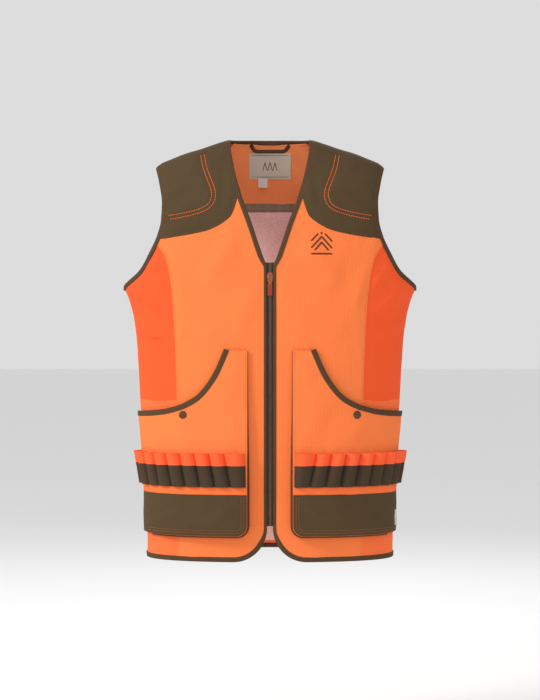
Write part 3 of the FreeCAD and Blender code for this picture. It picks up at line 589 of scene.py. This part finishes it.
NODE_LOOKS = {"zip_comb": NYLON, "zip_box": NYLON, "zip_pin": NYLON, "slider_body": BRASS,
              "pull_link": BRASS, "snap_cap": SNAP, "snap_socket": SNAP, "snap_stud": SNAP,
              "snap_post": SNAP}
for node_name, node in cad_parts.items():
    for key, look in NODE_LOOKS.items():
        if node_name.endswith(key):
            node.data.materials.clear()
            node.data.materials.append(look)
            node.data.polygons.foreach_set("material_index", [0] * len(node.data.polygons))

# ------------------------------------------------------------------ sewing the pieces

SIDES = (("left", False), ("right", True))


def with_stitch(thing, sewn):
    """Threads go with the piece they are sewn on."""
    return [thing] + list(sewn)


def dress(thing, body=None, node=None):
    """The body a piece rides on and the node whose place it takes."""
    if body:
        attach(thing, body)
    if node:
        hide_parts(node)


def ride_all(things, body):
    """Pieces that move with one body."""
    for thing in things:
        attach(thing, body)


def swing_all(things):
    """Cloth between the shoulder, which stays, and the front, which swings; here each piece's place
    is only baked into its mesh.
    """
    for thing in things:
        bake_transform(thing)


def bend_all(things):
    """Cloth that starts at the side seam and swings with the front; here each piece's place is only
    baked into its mesh.
    """
    for thing in things:
        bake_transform(thing)


PANEL_FOLDS = [
    (60, 560, 120, 470, 22, 2.2), (150, 540, 110, 430, 18, -1.8), (30, 470, 60, 380, 20, 1.6),
    (120, 420, 90, 330, 24, 2.0), (150, 360, 60, 400, 26, -1.4), (170, 500, 140, 440, 14, 1.4),
    (20, 300, 36, 120, 12, -1.2), (60, 600, 40, 520, 14, -1.0), (150, 470, 168, 300, 16, 1.3),
]
SIDE_FOLDS = [
    (236, 470, 190, 440, 9, 3.0), (240, 452, 186, 400, 11, -2.6), (238, 420, 180, 372, 12, 2.6),
    (232, 400, 176, 340, 10, -2.2), (228, 360, 190, 290, 13, 2.4), (215, 520, 180, 480, 10, 2.0),
    (226, 330, 170, 310, 9, -1.8), (222, 300, 180, 268, 8, 1.8), (205, 500, 172, 500, 7, -1.6),
    (220, 40, 170, 20, 9, 1.2),
]


def panel_bumps(lines, amount=1.0, seed=3):
    """Folds and ripples that stand out of the cloth, kept low where the pocket lies over it."""
    def bumps(base, turn, z):
        lift = (folds(base, lines, 1) * 1.7
                + soft_noise(base * np.array([1.5, 1, 0.7]), 62, seed) * 2.6
                + soft_noise(base, 24, seed + 1) * 0.6) * amount
        lift = (lift + np.sqrt(lift * lift + 1.5)) / 2 - 0.6
        covered = (z < 385) & (base[:, 1] < SEAM_Y) & (np.abs(base[:, 0]) > 30)
        return np.where(covered, np.minimum(lift, 1.0) * 0.6, lift)
    return bumps


def hold_edges(bumps, edges, reach=16.0):
    """The same folds, pressed flat near the given lines of (turn, level) points."""
    lines = [on_body(*resample(edge, 6.0).T) for edge in edges]

    def held(base, turn, z):
        lift = bumps(base, turn, z)
        for line in lines:
            share = np.clip(away_from(line, base) / reach, 0, 1)
            lift = lift * (0.15 + 0.85 * share * share * (3 - 2 * share))
        return lift

    return held


def arm_in(z):
    """The armhole edge of the cloth, tucked under its binding."""
    return armhole_edge(z) - TUCK


def panel_side(z):
    """The outer edge of the front and back panels: the side panel's seam, then the armhole."""
    return np.minimum(side_seam_x(z), np.where(z > 515, arm_in(z), FAR))


def front_pieces(side, mirror):
    """A front: its panel, the front half of the side panel and the seam between them."""
    edge = rounded(ZIP_EDGE + TUCK, TUCK, CORNER - TUCK, 25)
    edge += along_z(lambda z: neck_edge(z) + TUCK, CORNER + 4, 640)
    low_patch = [(float(turn_at(patch_edge(z) + 6, z)), z) for z in np.linspace(640, 564, 50)]
    side_line = along_z(panel_side, 561, TUCK)
    seed = 3 if side == "left" else 11
    bumps = hold_edges(panel_bumps(PANEL_FOLDS, 1.0, seed), [edge, low_patch, side_line])
    thing = panel(side + "_front_cloth", edge + low_patch + side_line, ORANGE, out=0.3,
                  thick=1.3, bumps=bumps, mirror=mirror)
    dress(thing, node=side + "_front_panel")
    side_panel(side, mirror, False, seed + 4)
    sewn = sew(side + "_side_seam_stitch", along_z(side_seam_x, TUCK, 550), 3, 1, 2.4, 0.75,
               ORANGE_THREAD, mirror=mirror)
    swing_all([thing, sewn])


def side_panel(side, mirror, back, seed):
    """The deeper orange side, mesh above the pocket mouth and plain cloth below it."""
    seam_turn = 1.00005 if back else 0.99995
    end = "back" if back else "front"
    for part, low, high, look, out in (("low", TUCK, 279.0, SIDE_LOW, -0.1),
                                       ("side", 277.0, 550.0, DEEP, -0.3)):
        inner = along_z(lambda z: side_seam_x(z) - 6, low, high, back=back)
        if part == "side":
            top = along_z(arm_in, 550, UP_ARM + 3, back=back)
            seam_line = [(seam_turn, z) for z in np.linspace(UP_ARM, low, 40)]
        else:
            top = [(t, high) for t in np.linspace(inner[-1][0], seam_turn, 24)]
            seam_line = [(seam_turn, z) for z in np.linspace(high, low, 50)]
        foot = [(t, low) for t in np.linspace(seam_turn, inner[0][0], 24)[1:-1]]
        bumps = hold_edges(panel_bumps(SIDE_FOLDS, 0.8 if back else 1.0, seed),
                           [inner, top, seam_line], 22)
        thing = panel(f"{side}_{part}_{end}_cloth", inner + top + seam_line + foot, look, out,
                      thick=1.1, step=4.5, bumps=bumps, mirror=mirror)
        dress(thing, "back" if back else None, f"{side}_side_{end}")
        if not back:
            bend_all([thing])


BACK_FOLDS = [
    (0, 640, 0, 480, 40, 1.5), (90, 600, 60, 480, 20, 2.0), (-90, 600, -60, 470, 22, 2),
    (-150, 300, -60, 360, 22, 2.2), (150, 280, 70, 350, 24, 2.4), (0, 330, 40, 180, 20, -2.0),
    (-100, 220, -60, 60, 18, 2.0), (110, 230, 80, 60, 18, -2.0), (140, 500, 100, 400, 16, -2),
    (-140, 510, -110, 400, 16, -2),
]


def back_pieces():
    """The back panel, the back halves of the side panels and the seams between them."""
    side_line = along_z(panel_side, TUCK, 561, back=True)
    low_patch = [(2 - float(turn_at(max(patch_edge(z), PATCH_BACK) + 5, z)), z)
                 for z in np.linspace(564, UP_NECK, 80)]
    half = side_line + low_patch
    other = [(4 - t, z) for t, z in reversed(half)]
    hem = [(t, TUCK) for t in np.linspace(1.5, 2.5, 30)]
    bumps = hold_edges(panel_bumps(BACK_FOLDS, 1.2, 7), [side_line, low_patch, hem])
    thing = panel("back_cloth", half + [(2.0, 743.0)] + other + [(2.0, TUCK)], ORANGE, out=0.3,
                  thick=1.3, bumps=bumps)
    dress(thing, "back", "back_panel")
    for side, mirror in SIDES:
        side_panel(side, mirror, True, 17)
        sewn = sew(side + "_back_seam_stitch", along_z(side_seam_x, TUCK, 550, back=True), 3,
                   -1, 2.4, 0.75, ORANGE_THREAD, mirror=mirror)
        dress(sewn, "back")


PATCH_FOLDS = [
    (180, 600, 130, 622, 6, 1.6), (182, 618, 136, 640, 6, -1.4), (184, 640, 140, 655, 7, 1.6),
    (180, 590, 120, 596, 6, -1.2), (186, 664, 145, 672, 7, 1.3), (170, 575, 110, 590, 7, 1.2),
    (120, 600, 90, 660, 9, 1.4), (84, 620, 80, 690, 9, -1.0), (150, 700, 110, 640, 10, 1.2),
]
QUILT = [(115, 711), (110, 686), (103, 667), (96, 650), (93, 636), (95, 624), (100, 615),
         (108, 608), (120, 603), (140, 598), (160, 594.5), (177, 592)]


def quilt_path(shift):
    """One row of the quilting, from the shoulder down and out to the armhole."""
    x, z = softened(spread(np.array(QUILT, float), 90), 6).T
    dx, dz = np.gradient(x), np.gradient(z)
    length = np.hypot(dx, dz)
    x, z = x + dz / length * shift, z - dx / length * shift
    return np.stack([turn_at(x, z), z], -1)


def puffed(edges, grooves=()):
    """The padded look of a patch: flat at its edges, pulled in along the quilting."""
    held = hold_edges(lambda base, turn, z: folds(base, PATCH_FOLDS, 1)
                      + soft_noise(base, 30, 21) * 0.9 + 1.6, edges, 12)

    def bumps(base, turn, z):
        lift = held(base, turn, z)
        for line in grooves:
            lift = lift - 1.3 * np.exp(-(away_from(line, base) / 2.6) ** 2)
        return lift

    return bumps


def patch_pieces(side, mirror):
    """A quilted shoulder patch: its back rides on the back; its front is only baked into place, not
    made to swing with the front.
    """
    ridge = [(1.0, z) for z in np.linspace(739.0, 692.0, 24)]
    low = [(float(turn_at(patch_edge(z), z)), z) for z in np.linspace(560, 628, 60)]
    up_neck = along_z(lambda z: neck_edge(z) + TUCK, 636, 738.5)
    down_arm = along_z(arm_in, 690, 560)
    edges = [low, up_neck, ridge, down_arm]
    quilts = [quilt_path(shift) for shift in (-7.5, -1.0)]
    front = panel(side + "_patch_front", sum(edges, []), OLIVE, out=0.7, thick=1.6, step=3.2,
                  bumps=puffed(edges, [on_body(*line.T) for line in quilts]), mirror=mirror)
    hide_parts(side + "_shoulder_patch")
    rows = [sew(f"{side}_quilt_{k + 1}", line, 2, 1, 0, 1.7, BRIGHT_THREAD, long=3.8, gap=0.7,
                radius=0.85, mirror=mirror, on=front) for k, line in enumerate(quilts)]
    rows.append(sew(side + "_patch_border_stitch", low + up_neck[:3], 2, -1, 2.2, 1.5,
                    OLIVE_THREAD, mirror=mirror, on=front))
    swing_all(with_stitch(front, rows))

    back_in = [(2 - float(turn_at(max(patch_edge(z), PATCH_BACK), z)), z)
               for z in np.linspace(738, 560, 110)]
    arm_back = along_z(arm_in, 560, 690, back=True)
    rear = panel(side + "_patch_back", arm_back + ridge[::-1] + back_in, OLIVE, out=0.7,
                 thick=1.6, step=3.6, bumps=puffed([arm_back, ridge, back_in]), mirror=mirror)
    row = sew(side + "_patch_back_stitch", back_in, 2, -1, 2.2, 1.5, OLIVE_THREAD,
              mirror=mirror)
    seam = sew(side + "_shoulder_seam_stitch", [(1.0, z) for z in np.linspace(736, 694, 12)],
               2, 1, 2.0, 1.3, OLIVE_THREAD, mirror=mirror)
    ride_all(with_stitch(rear, [row, seam]), "back")


def binding(name, path, into, node, wide=lambda z: np.full(len(z), BIND), mirror=False):
    """Tape folded over an edge, and the stitches near its inner border."""
    path = resample(path, 3.0)
    place, out = frames(path)
    reach = wide(path[:, 1])
    thing = tube(name, place, out, into, -0.4, reach, -2.6, 1.5, TAPE, mirror=mirror)
    row = stitches(name + "_stitch", place, out, into, reach[:, None] - 1.3, 1.55,
                   OLIVE_THREAD, mirror=mirror)
    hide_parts(node)
    return with_stitch(thing, [row])


def bindings():
    """Tape round the hem, the fronts' edges, the armholes and the neck."""
    corner = rounded(ZIP_EDGE, 0, CORNER, 25)
    hem_front = [(t, 0.0) for t in np.linspace(0.9985, corner[0][0], 60)]
    rise = corner + along_z(neck_edge, CORNER + 2, 736)
    rise_wide = through([(30, BIND), (CORNER, ZIP_BIND), (500, ZIP_BIND), (530, BIND)])
    arm_front = [(0.9985, UP_ARM)] + along_z(armhole_edge, UP_ARM + 2, 689)
    arm_ring = [(1.0, UP_SHOULDER)] + along_z(armhole_edge, 688, UP_ARM + 2, back=True)
    arm_ring += [(1.0015, UP_ARM)]
    for side, mirror in SIDES:
        bend_all(binding(side + "_hem_front_tape", hem_front, -1, side + "_edge_binding",
                         mirror=mirror))
        swing_all(binding(side + "_edge_tape", rise, -1, side + "_edge_binding", rise_wide,
                          mirror))
        swing_all(binding(side + "_armhole_front_tape", arm_front, 1,
                          side + "_armhole_front_binding", mirror=mirror))
        ride_all(binding(side + "_armhole_back_tape", arm_ring, 1, side + "_armhole_binding",
                         mirror=mirror), "back")
    hem_back = [(t, 0.0) for t in np.linspace(1.0015, 2.9985, 200)]
    neck = along_z(neck_edge, 730, 738) + [(1 + i / 30, UP_NECK + 5 * math.sin(i / 30 * 1.57))
                                           for i in range(31)]
    neckline = neck + [(4 - t, z) for t, z in reversed(neck[:-1])]
    ride_all(binding("hem_back_tape", hem_back, 1, "back_hem_binding"), "back")
    ride_all(binding("collar_tape", neckline, -1, "collar_binding"), "back")


# ------------------------------------------------------------------ inside the neck

def inner_cloth(name, edge, low, high, material, out, thick, node, bumps=None, step=6.0):
    """Cloth across the inside of the back, its half width given at each level."""
    z = np.linspace(low, high, max(3, int((high - low) / 4)))
    left = [(2 - float(turn_at(edge(q), q)), q) for q in z]
    loop = left + [(4 - t, q) for t, q in reversed(left)]
    dress(panel(name, loop, material, out, thick, step, bumps), "back", node)


def neck_pieces():
    """The mesh lining, the tape over its top edge, the neck facing and the label."""
    under = -CLOTH - 0.4
    inner_cloth("back_lining_cloth", lambda z: np.where(z > 470, armhole_edge(z) - 6,
                                                        half_width(z) * 0.995),
                14, 622, MESH_CLOTH, under - 1.4, 0.8, "back_lining",
                lambda base, turn, z: soft_noise(base, 40, 5) * 1.2 - 0.8, 8.0)
    inner_cloth("yoke_tape_cloth", lambda z: 160 + 0 * z, 621, 638, GREY_TAPE, under, 1.2,
                "yoke_tape", step=4.0)
    facing_out = through([(637, 160), (660, 146), (690, 122), (715, 96), (730, 80), (741, 66)])
    inner_cloth("neck_facing_cloth", facing_out, 637, 741, FACING, under, 1.0, "neck_facing",
                lambda base, turn, z: soft_noise(base, 30, 8) * 0.5)
    inner_cloth("neck_label_cloth", lambda z: 38 + 0 * z, 682, 727, LABEL, under - 1.3, 0.8,
                "neck_label", step=3.0)


def back_turn(x, z):
    """The turn of the back at which the surface is x from the centre line."""
    return 2 - math.copysign(float(turn_at(abs(x), z)), x)


def label_marks():
    """A rule near the label's top and foot, and a plain pattern of peaks between them."""
    for level in (686.0, 723.0):
        place, out = frames(resample([(back_turn(x, level), level) for x in (34, -34)], 2))
        rule = tube(f"label_rule_{int(level)}", place, out, 1, -0.4, 0.4, -4.65, -4.45,
                    LABEL_DARK, count=6, wave=0.0)
        dress(rule, "back")
    for k, x in enumerate((-9, 0, 9)):
        mark = [(back_turn(x + step, z), z) for step, z in ((-4, 697), (0, 711), (4, 697))]
        place, out = frames(resample(mark, 1.5))
        peak = tube(f"label_peak_{k + 1}", place, out, 1, -0.7, 0.7, -4.7, -4.45, LABEL_DARK,
                    count=6, wave=0.0)
        dress(peak, "back")


HANGER_BACK = 53.7
HANGER = [(-35, 739), (-31, 732), (-28, 728), (-23, 726.6), (23, 726.6), (28, 728), (31, 732),
          (35, 739)]


def hanger():
    """The hanging loop, stitched along its middle but not in the seam that holds its ends."""
    line = softened(spread(np.array([(x, HANGER_BACK, z) for x, z in HANGER], float), 60), 3)
    out = np.tile([0.0, -1.0, 0.0], (len(line), 1))
    hang = tube("hanger_tape", line, out, 1, -3.3, 3.3, -0.9, 0.9, TAPE_DARK, rounds=2.6)
    row = stitches("hanger_tape_stitch", line[5:-5], out[5:-5], 1, 0.0, 0.75, OLIVE_THREAD)
    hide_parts("hanger_loop")
    ride_all(with_stitch(hang, [row]), "hanger")


def size_tag():
    """The small white tag, curling forward towards its foot."""
    low, high = (np.array(v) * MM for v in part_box("size_tag"))
    grid_x, grid_z = np.meshgrid(np.linspace(low[0], high[0], 12),
                                 np.linspace(high[2], low[2], 12))
    bend = (high[2] - grid_z) ** 2 * 0.0024
    face = np.stack([grid_x, low[1] - bend, grid_z], -1)
    points, faces = shell(face, face + np.array([0, 0.7, 0]))
    uv = np.stack([grid_x.ravel(), grid_z.ravel()], -1)
    tag = add_mesh("size_tag_cloth", points, flip(faces), WHITE_TAG, np.vstack([uv, uv]))
    dress(tag, "tag", "size_tag")


# ------------------------------------------------------------------ pockets

pocket_stand = through([(45, 15), (120, 15), (254, 8), (367, 4.5)])
POCKET_TURN = 0.985    # the pocket's outer side
POCKET_INNER, POCKET_LOW, POCKET_CORNER, POCKET_SIDE = 38.0, 45.0, 18.0, 3.4
LOOP_LOW, LOOP_MID, LOOP_HIGH, LOOP_IN = 131.0, 167.0, 188.0, 41.0
LOOP_COUNT, LOOP_PITCH, LOOP_STEPS = 9, 26.6, 12
SKIN = 1.4             # thickness of the pocket's cloth


def off_pocket(extra):
    """How far the pocket stands sideways and forward of the vest at a level."""
    return lambda z: (POCKET_SIDE + extra, pocket_stand(z) + extra)


def pocket_foot(inset=0.0):
    """The pocket's foot and rounded inner corner, from its outer side."""
    inner = float(turn_at(58, POCKET_LOW))
    foot = [(t, POCKET_LOW + inset) for t in np.linspace(POCKET_TURN - 0.002, inner, 50)]
    return foot + rounded(POCKET_INNER + inset, POCKET_LOW + inset, POCKET_CORNER, 13)


POCKET_FOLDS = [
    (60, 340, 90, 230, 16, 1.6), (120, 270, 90, 210, 14, -1.2), (160, 250, 140, 205, 12, 1.4),
    (190, 250, 200, 205, 10, 1.8), (70, 260, 60, 200, 12, 1.0), (100, 330, 70, 300, 10, -1.0),
]


def loop_turns():
    """Turns at even steps along the pocket, so many to a loop."""
    fine = np.linspace(float(turn_at(LOOP_IN, LOOP_MID)), 0.9999, 4000)
    level = np.full(len(fine), LOOP_MID)
    run = run_of(on_body(fine, level, *off_pocket(0)(level)))
    total = min(LOOP_COUNT * LOOP_PITCH, run[np.searchsorted(fine, POCKET_TURN)])
    steps = int(total / LOOP_PITCH * LOOP_STEPS) + 1
    return np.interp(np.linspace(0, total, steps), run, fine)


def loop_band(name, low, high, material, mirror, seed):
    """Shell loops: cloth that leaves the pocket in a wave and is sewn down between loops."""
    turns = loop_turns()
    levels = np.linspace(low, high, 14)
    phase = np.arange(len(turns)) / LOOP_STEPS
    rng = np.random.default_rng(seed)
    vary = rng.uniform(0.86, 1.12, int(phase[-1]) + 2)
    lean = rng.uniform(-0.10, 0.10, int(phase[-1]) + 2)
    which = phase.astype(int)
    inside = phase - which
    inside = np.clip(inside + lean[which] * np.sin(inside * math.pi), 0, 1)
    wave = (np.sin(inside * math.pi) ** 0.62) * vary[which]
    tilt = np.clip(phase, 0, 1) * np.clip((phase[-1] - phase) / 1.5, 0.25, 1)
    layers = []
    for lift in (1.2, 0.0):
        rings = []
        for z in levels:
            share = (z - LOOP_LOW) / (LOOP_HIGH - LOOP_LOW)
            level = np.full(len(turns), z)
            leaned = np.clip(turns + 0.028 * share * tilt, 0, 0.9995)
            place = on_body(leaned, level, *off_pocket(SKIN + 0.3 + lift)(level))
            out = facing(leaned, level)
            out[:, 2] = 0
            out /= np.linalg.norm(out, axis=1, keepdims=True)
            swell = 7.6 + 5.0 * share + soft_noise(place, 9, seed) * 0.5
            rings.append(place + out * (swell * wave)[:, None])
        layers.append(np.stack(rings))
    points, faces = shell(*layers)
    run = run_of(layers[0][len(levels) // 2])
    uv = np.stack([np.tile(run, len(levels)), np.repeat(levels, len(turns))], -1)
    thing = add_mesh(name, points, faces, material, np.vstack([uv, uv]), sharp=70,
                     mirror=mirror)
    return thing


def pocket_join(things):
    """Pocket cloth is sewn to the front at the side seam and swells by the zip; here each piece's
    place is only baked into its mesh.
    """
    for thing in things:
        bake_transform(thing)


LOWER_FOLDS = [(60, 100, 110, 60, 10, 1.5), (130, 110, 190, 80, 9, -1.4),
               (90, 70, 170, 58, 8, 1.2), (150, 100, 205, 60, 9, 1.4)]


def pocket_panel(side, mirror, seed):
    """The pocket's own cloth, from its foot to its slanted mouth."""
    inner = pocket_foot(0.5) + along_z(lambda z: 38.5 + 0 * z, 66, 365)
    mouth = [(float(turn_at(x, 365)), 365) for x in (44, 60, 72)]
    mouth += [(float(turn_at(mouth_edge(z) - 1.5, z)), z - 1.5)
              for z in np.linspace(364, 259, 60)]
    mouth += [(t, 256.5) for t in np.linspace(float(turn_at(228, 258)), POCKET_TURN - 0.002, 8)]
    outside = [(POCKET_TURN - 0.002, z) for z in np.linspace(254, 47, 50)]
    raw = lambda base, turn, z: (folds(base, POCKET_FOLDS, 1)
                                 + soft_noise(base, 45, seed) * 1.3) * (z > 120)
    under_loops = [(t, 190.0) for t in np.linspace(0.1, 0.98, 40)]
    thing = panel(side + "_pocket_cloth", inner + mouth + outside, ORANGE, out=SKIN - 0.1,
                  step=4.5, bumps=hold_edges(raw, [mouth, inner, under_loops], 14),
                  off=off_pocket(0), mirror=mirror)
    dress(thing, node=side + "_pocket_panel")
    return [thing, sew(side + "_pocket_edge_stitch", inner[60:], 3, -1, 3.0, 0.15,
                       ORANGE_THREAD, off_pocket(SKIN), mirror=mirror)]


def mouth_tape(side, mirror):
    """The binding of the pocket's mouth."""
    lip = [(float(turn_at(mouth_edge(z), z)), z) for z in np.linspace(368, 258.5, 72)]
    lip += [(t, 258.0) for t in np.linspace(float(turn_at(228, 258)), POCKET_TURN, 8)]
    place, out = frames(resample(lip, 3), off_pocket(0))
    tape = tube(side + "_mouth_tape", place, out, -1, -0.4, 9.4, -0.6, SKIN + 1.1, TAPE,
                mirror=mirror)
    row = stitches(side + "_mouth_stitch", place, out, -1, 8.0, SKIN + 1.15, OLIVE_THREAD,
                   mirror=mirror)
    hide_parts(side + "_mouth_binding")
    return with_stitch(tape, [row])


def lower_panel(side, mirror, seed):
    """The olive cloth over the pocket's foot, sewn with two rust rows."""
    foot = pocket_foot(1.2)
    rise = along_z(lambda z: 39.2 + 0 * z, 66, 115)
    top = [(t, 117.0) for t in np.linspace(float(turn_at(39.2, 117)), POCKET_TURN - 0.012, 50)]
    raw = lambda base, turn, z: (folds(base, LOWER_FOLDS, 1)
                                 + soft_noise(base, 28, seed + 2) * 1.0 + 1.0)
    low = panel(side + "_lower_cloth", foot + rise + top, OLIVE, out=SKIN + 0.9, thick=0.9,
                step=4.0, bumps=hold_edges(raw, [foot, top], 12), off=off_pocket(0),
                mirror=mirror)
    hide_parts(side + "_lower_panel")
    sewn = [sew(f"{side}_lower_stitch_{k + 1}", foot[12:] + rise, 2.5, -1, inset, 1.7,
                RUST_THREAD, off_pocket(SKIN), long=3.0, radius=0.5, mirror=mirror, on=low)
            for k, inset in enumerate((5.0, 9.5))]
    return with_stitch(low, sewn)


def trim_tape(side, mirror):
    """The bright strip between the olive cloth and the shell loops."""
    strip = [(t, 123.4) for t in np.linspace(float(turn_at(38.8, 123)), POCKET_TURN - 0.01, 90)]
    place, out = frames(resample(strip, 3), off_pocket(SKIN))
    trim = tube(side + "_trim_tape", place, out, 1, -7.0, 7.0, 0.1, 1.5, TRIM_ORANGE,
                rounds=5, mirror=mirror)
    rows = [stitches(f"{side}_trim_stitch_{k}", place, out, 1, s, 1.5, ORANGE_THREAD,
                     mirror=mirror) for k, s in enumerate((-5.2, 5.2))]
    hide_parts(side + "_trim_strip")
    return with_stitch(trim, rows)


def pocket_pieces(side, mirror):
    seed = 31 if side == "left" else 47
    made = pocket_panel(side, mirror, seed) + mouth_tape(side, mirror)
    made += lower_panel(side, mirror, seed) + trim_tape(side, mirror)
    for name, node, low, high, look, slot in (
            ("loops_olive", "loops_lower", 130.8, 167.2, OLIVE_DARK, "olive_cloth"),
            ("loops_orange", "loops_upper", LOOP_MID, LOOP_HIGH, LOOP_ORANGE, "deep_orange")):
        band = loop_band(f"{side}_{name}", low, high, look, mirror, seed)
        dress(band, node=f"{side}_{node}")
        made.append(band)
    pocket_join(made)
    gusset(side, mirror)


def gusset(side, mirror):
    """Folded cloth between the front and the pocket, along the inner side and the foot."""
    path = resample(pocket_foot(0.6)[14:] + along_z(lambda z: 38.6 + 0 * z, 66, 364), 3.0)
    turn, level = path.T
    stand = pocket_stand(level)
    across = across_of(*frames(path))
    count = 13
    rings = []
    for share in np.linspace(0, 1, count):
        place = on_body(turn, level, 0.3 + (POCKET_SIDE - 0.5) * share,
                        0.3 + (stand - 0.2) * share)
        fold = math.sin(share * math.pi) * np.clip(stand / 15, 0.2, 1) * 4.4
        rings.append(place - across * (0.8 - fold)[:, None])
    cloth = np.stack(rings, axis=1)
    points, faces = shell(cloth, cloth - across[:, None, :] * 0.9)
    uv = np.stack([np.tile(np.arange(count) * 1.5, len(path)),
                   np.repeat(np.arange(len(path)) * 3.0, count)], -1)
    # The gusset's dark colour is painted shade: the strip that shows beside the pocket's edge draws
    # the crevice's shadow.
    thing = add_mesh(side + "_gusset_shade_cloth", points, faces, GUSSET_SHADE, np.vstack([uv, uv]),
                     sharp=60, mirror=mirror)
    dress(thing, node=side + "_pocket_gusset")
    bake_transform(thing)


# ------------------------------------------------------------------ zip tapes and small cloth

def upright(low, high, x, count):
    """A vertical line up the middle of a box, and the way forward at each of its points."""
    z = np.linspace(low[2], high[2], count)
    place = np.stack([np.full(count, x), np.full(count, (low[1] + high[1]) / 2), z], -1)
    return place, np.tile([0.0, -1.0, 0.0], (count, 1))


def zip_tapes():
    """The zip's two tapes, each with the cord that its teeth sit on."""
    for side, mirror in SIDES:
        low, high = (np.array(v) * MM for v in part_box(side + "_zip_tape"))
        place, out = upright(low, high, 3.1, 150)
        tape = tube(side + "_zip_cloth", place, out, -1, -2.9, 14.8, -0.4, 0.4, TAPE, rounds=6,
                    wave=0.05, mirror=mirror)
        cord = tube(side + "_zip_cord", place, out, -1, 0.3, 1.9, -0.9, 0.9, TAPE, rounds=2,
                    count=8, wave=0.05, mirror=mirror)
        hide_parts(side + "_zip_tape")
        ride_all(with_stitch(tape, [cord]), side + "_front")


EMBLEM_X, EMBLEM_Z, EMBLEM_THREAD = 89.0, 550.0, 1.5
EMBLEM = [[(-18, -8), (0, 12), (18, -8)], [(-12, -12), (0, 2), (12, -12)], [(-18, 4), (-6, 17)],
          [(18, 4), (6, 17)], [(-18, -18), (18, -18)], [(0, 16), (0, 20)]]


def emblem():
    """A plain embroidered mark of peaks over a line."""
    things = []
    for k, stroke in enumerate(EMBLEM):
        path = [(float(turn_at(EMBLEM_X + x, EMBLEM_Z + z)), EMBLEM_Z + z) for x, z in stroke]
        place, out = frames(resample(path, 1.2))
        place = drape(place, out, bpy.data.objects["left_front_cloth"])
        things.append(tube(f"emblem_stroke_{k + 1}", place, out, 1, -EMBLEM_THREAD,
                           EMBLEM_THREAD, -0.3, 0.7, BROWN_THREAD, rounds=2, count=8, wave=0.1))
    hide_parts("chest_emblem")
    swing_all(things)


def side_tag():
    """The small grey tag by the left pocket's outer side."""
    loop = [(0.845, 57), (0.845, 84), (0.885, 84), (0.885, 57)]
    fold = panel("side_tag_cloth", loop, LABEL, out=SKIN + 2.6, thick=1.6, step=2.0,
                 off=off_pocket(0))
    dress(fold, node="side_tag")
    pocket_join([fold])


def puller_grip():
    """The webbing grip on the slider's link."""
    place, out = upright(*(np.array(v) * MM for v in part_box("pull_tab")), 0.0, 24)
    grip = tube("puller_grip", place, out, 1, -4.2, 4.2, -1.1, 1.1, PULLER, rounds=3.5,
                wave=0.1)
    rows = [stitches(name, place, out, way, 2.4, 1.0, OLIVE_THREAD, long=1.8, radius=0.3)
            for name, way in (("puller_stitch", 1), ("puller_stitch_2", -1))]
    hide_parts("pull_tab")
    ride_all(with_stitch(grip, rows), "puller")


def pads():
    """Foam pads inside the shoulder patches, in a thin cover."""
    edge = through([(596, 172), (602, 140), (614, 122), (650, 115), (672, 112)])
    loop = [(float(turn_at(edge(z), z)), z) for z in np.linspace(597, 671, 40)]
    loop += along_z(lambda z: armhole_edge(z) - 12, 671, 597)
    rim = on_body(*resample(loop + [loop[0]], 3.0).T)

    def crown(base, turn, z):
        return -3.6 * np.sqrt(np.clip(away_from(rim, base) / 14, 0, 1))

    for side, mirror in SIDES:
        cover = panel(side + "_pad_cover", loop, FOAM, out=-CLOTH - 0.5, thick=1.0, step=4.0,
                      mirror=mirror)
        face = panel(side + "_pad_face", loop, FOAM, out=-CLOTH - 1.9, thick=0.8, step=3.5,
                     bumps=crown, mirror=mirror)
        dress(face, node=side + "_shoulder_pad")
        swing_all([cover, face])


for side_name, is_mirror in SIDES:
    front_pieces(side_name, is_mirror)
    patch_pieces(side_name, is_mirror)
    pocket_pieces(side_name, is_mirror)
back_pieces()
bindings()
neck_pieces()
label_marks()
hanger()
size_tag()
zip_tapes()
emblem()
side_tag()
puller_grip()
pads()

# ------------------------------------------------------------------ stage

scene = bpy.context.scene


def lamp(name, place, aim, energy, wide):
    """A square soft light."""
    data = bpy.data.lights.new(name, "AREA")
    data.shape = "SQUARE"
    data.size = wide
    data.energy = energy
    thing = bpy.data.objects.new(name, data)
    scene.collection.objects.link(thing)
    thing.location = place
    thing.rotation_euler = (Vector(aim) - Vector(place)).to_track_quat("-Z", "Y").to_euler()


FLOOR_HALF, FLOOR_UP = 60.0, -0.35
floor_mesh = bpy.data.meshes.new("floor")
floor_mesh.from_pydata([(x * FLOOR_HALF, y * FLOOR_HALF, FLOOR_UP)
                        for x, y in ((-1, -1), (1, -1), (1, 1), (-1, 1))], [], [(0, 1, 2, 3)])
floor = bpy.data.objects.new("floor", floor_mesh)
scene.collection.objects.link(floor)
pale, _, pale_shader = new_material("pale_floor")
set_inputs(pale_shader, base_color=(0.9, 0.9, 0.9, 1), roughness=0.9)
floor_mesh.materials.append(pale)

world = bpy.data.worlds.new("studio")
world.use_nodes = True
set_inputs(world.node_tree.nodes["Background"], color=(1, 1, 1, 1), strength=0.72)
scene.world = world
lamp("key", (-2.8, -1.5, 2.3), (0, 0, 0.4), 74, 0.9)
lamp("front", (0.3, -3.4, 1.1), (0, 0, 0.5), 11, 0.7)
lamp("rim", (0.3, 2.2, 2.0), (0, 0, 0.5), 22, 1.2)
scene.view_settings.view_transform = "Standard"

camera_data = bpy.data.cameras.new("camera")
camera_data.lens = 86.4
camera_data.sensor_fit = "VERTICAL"
camera_data.sensor_height = 36.0
camera = bpy.data.objects.new("camera", camera_data)
scene.collection.objects.link(camera)
camera.location = (0.0, -3.0, 0.366)
camera.rotation_euler = (math.radians(90), 0, 0)
scene.camera = camera
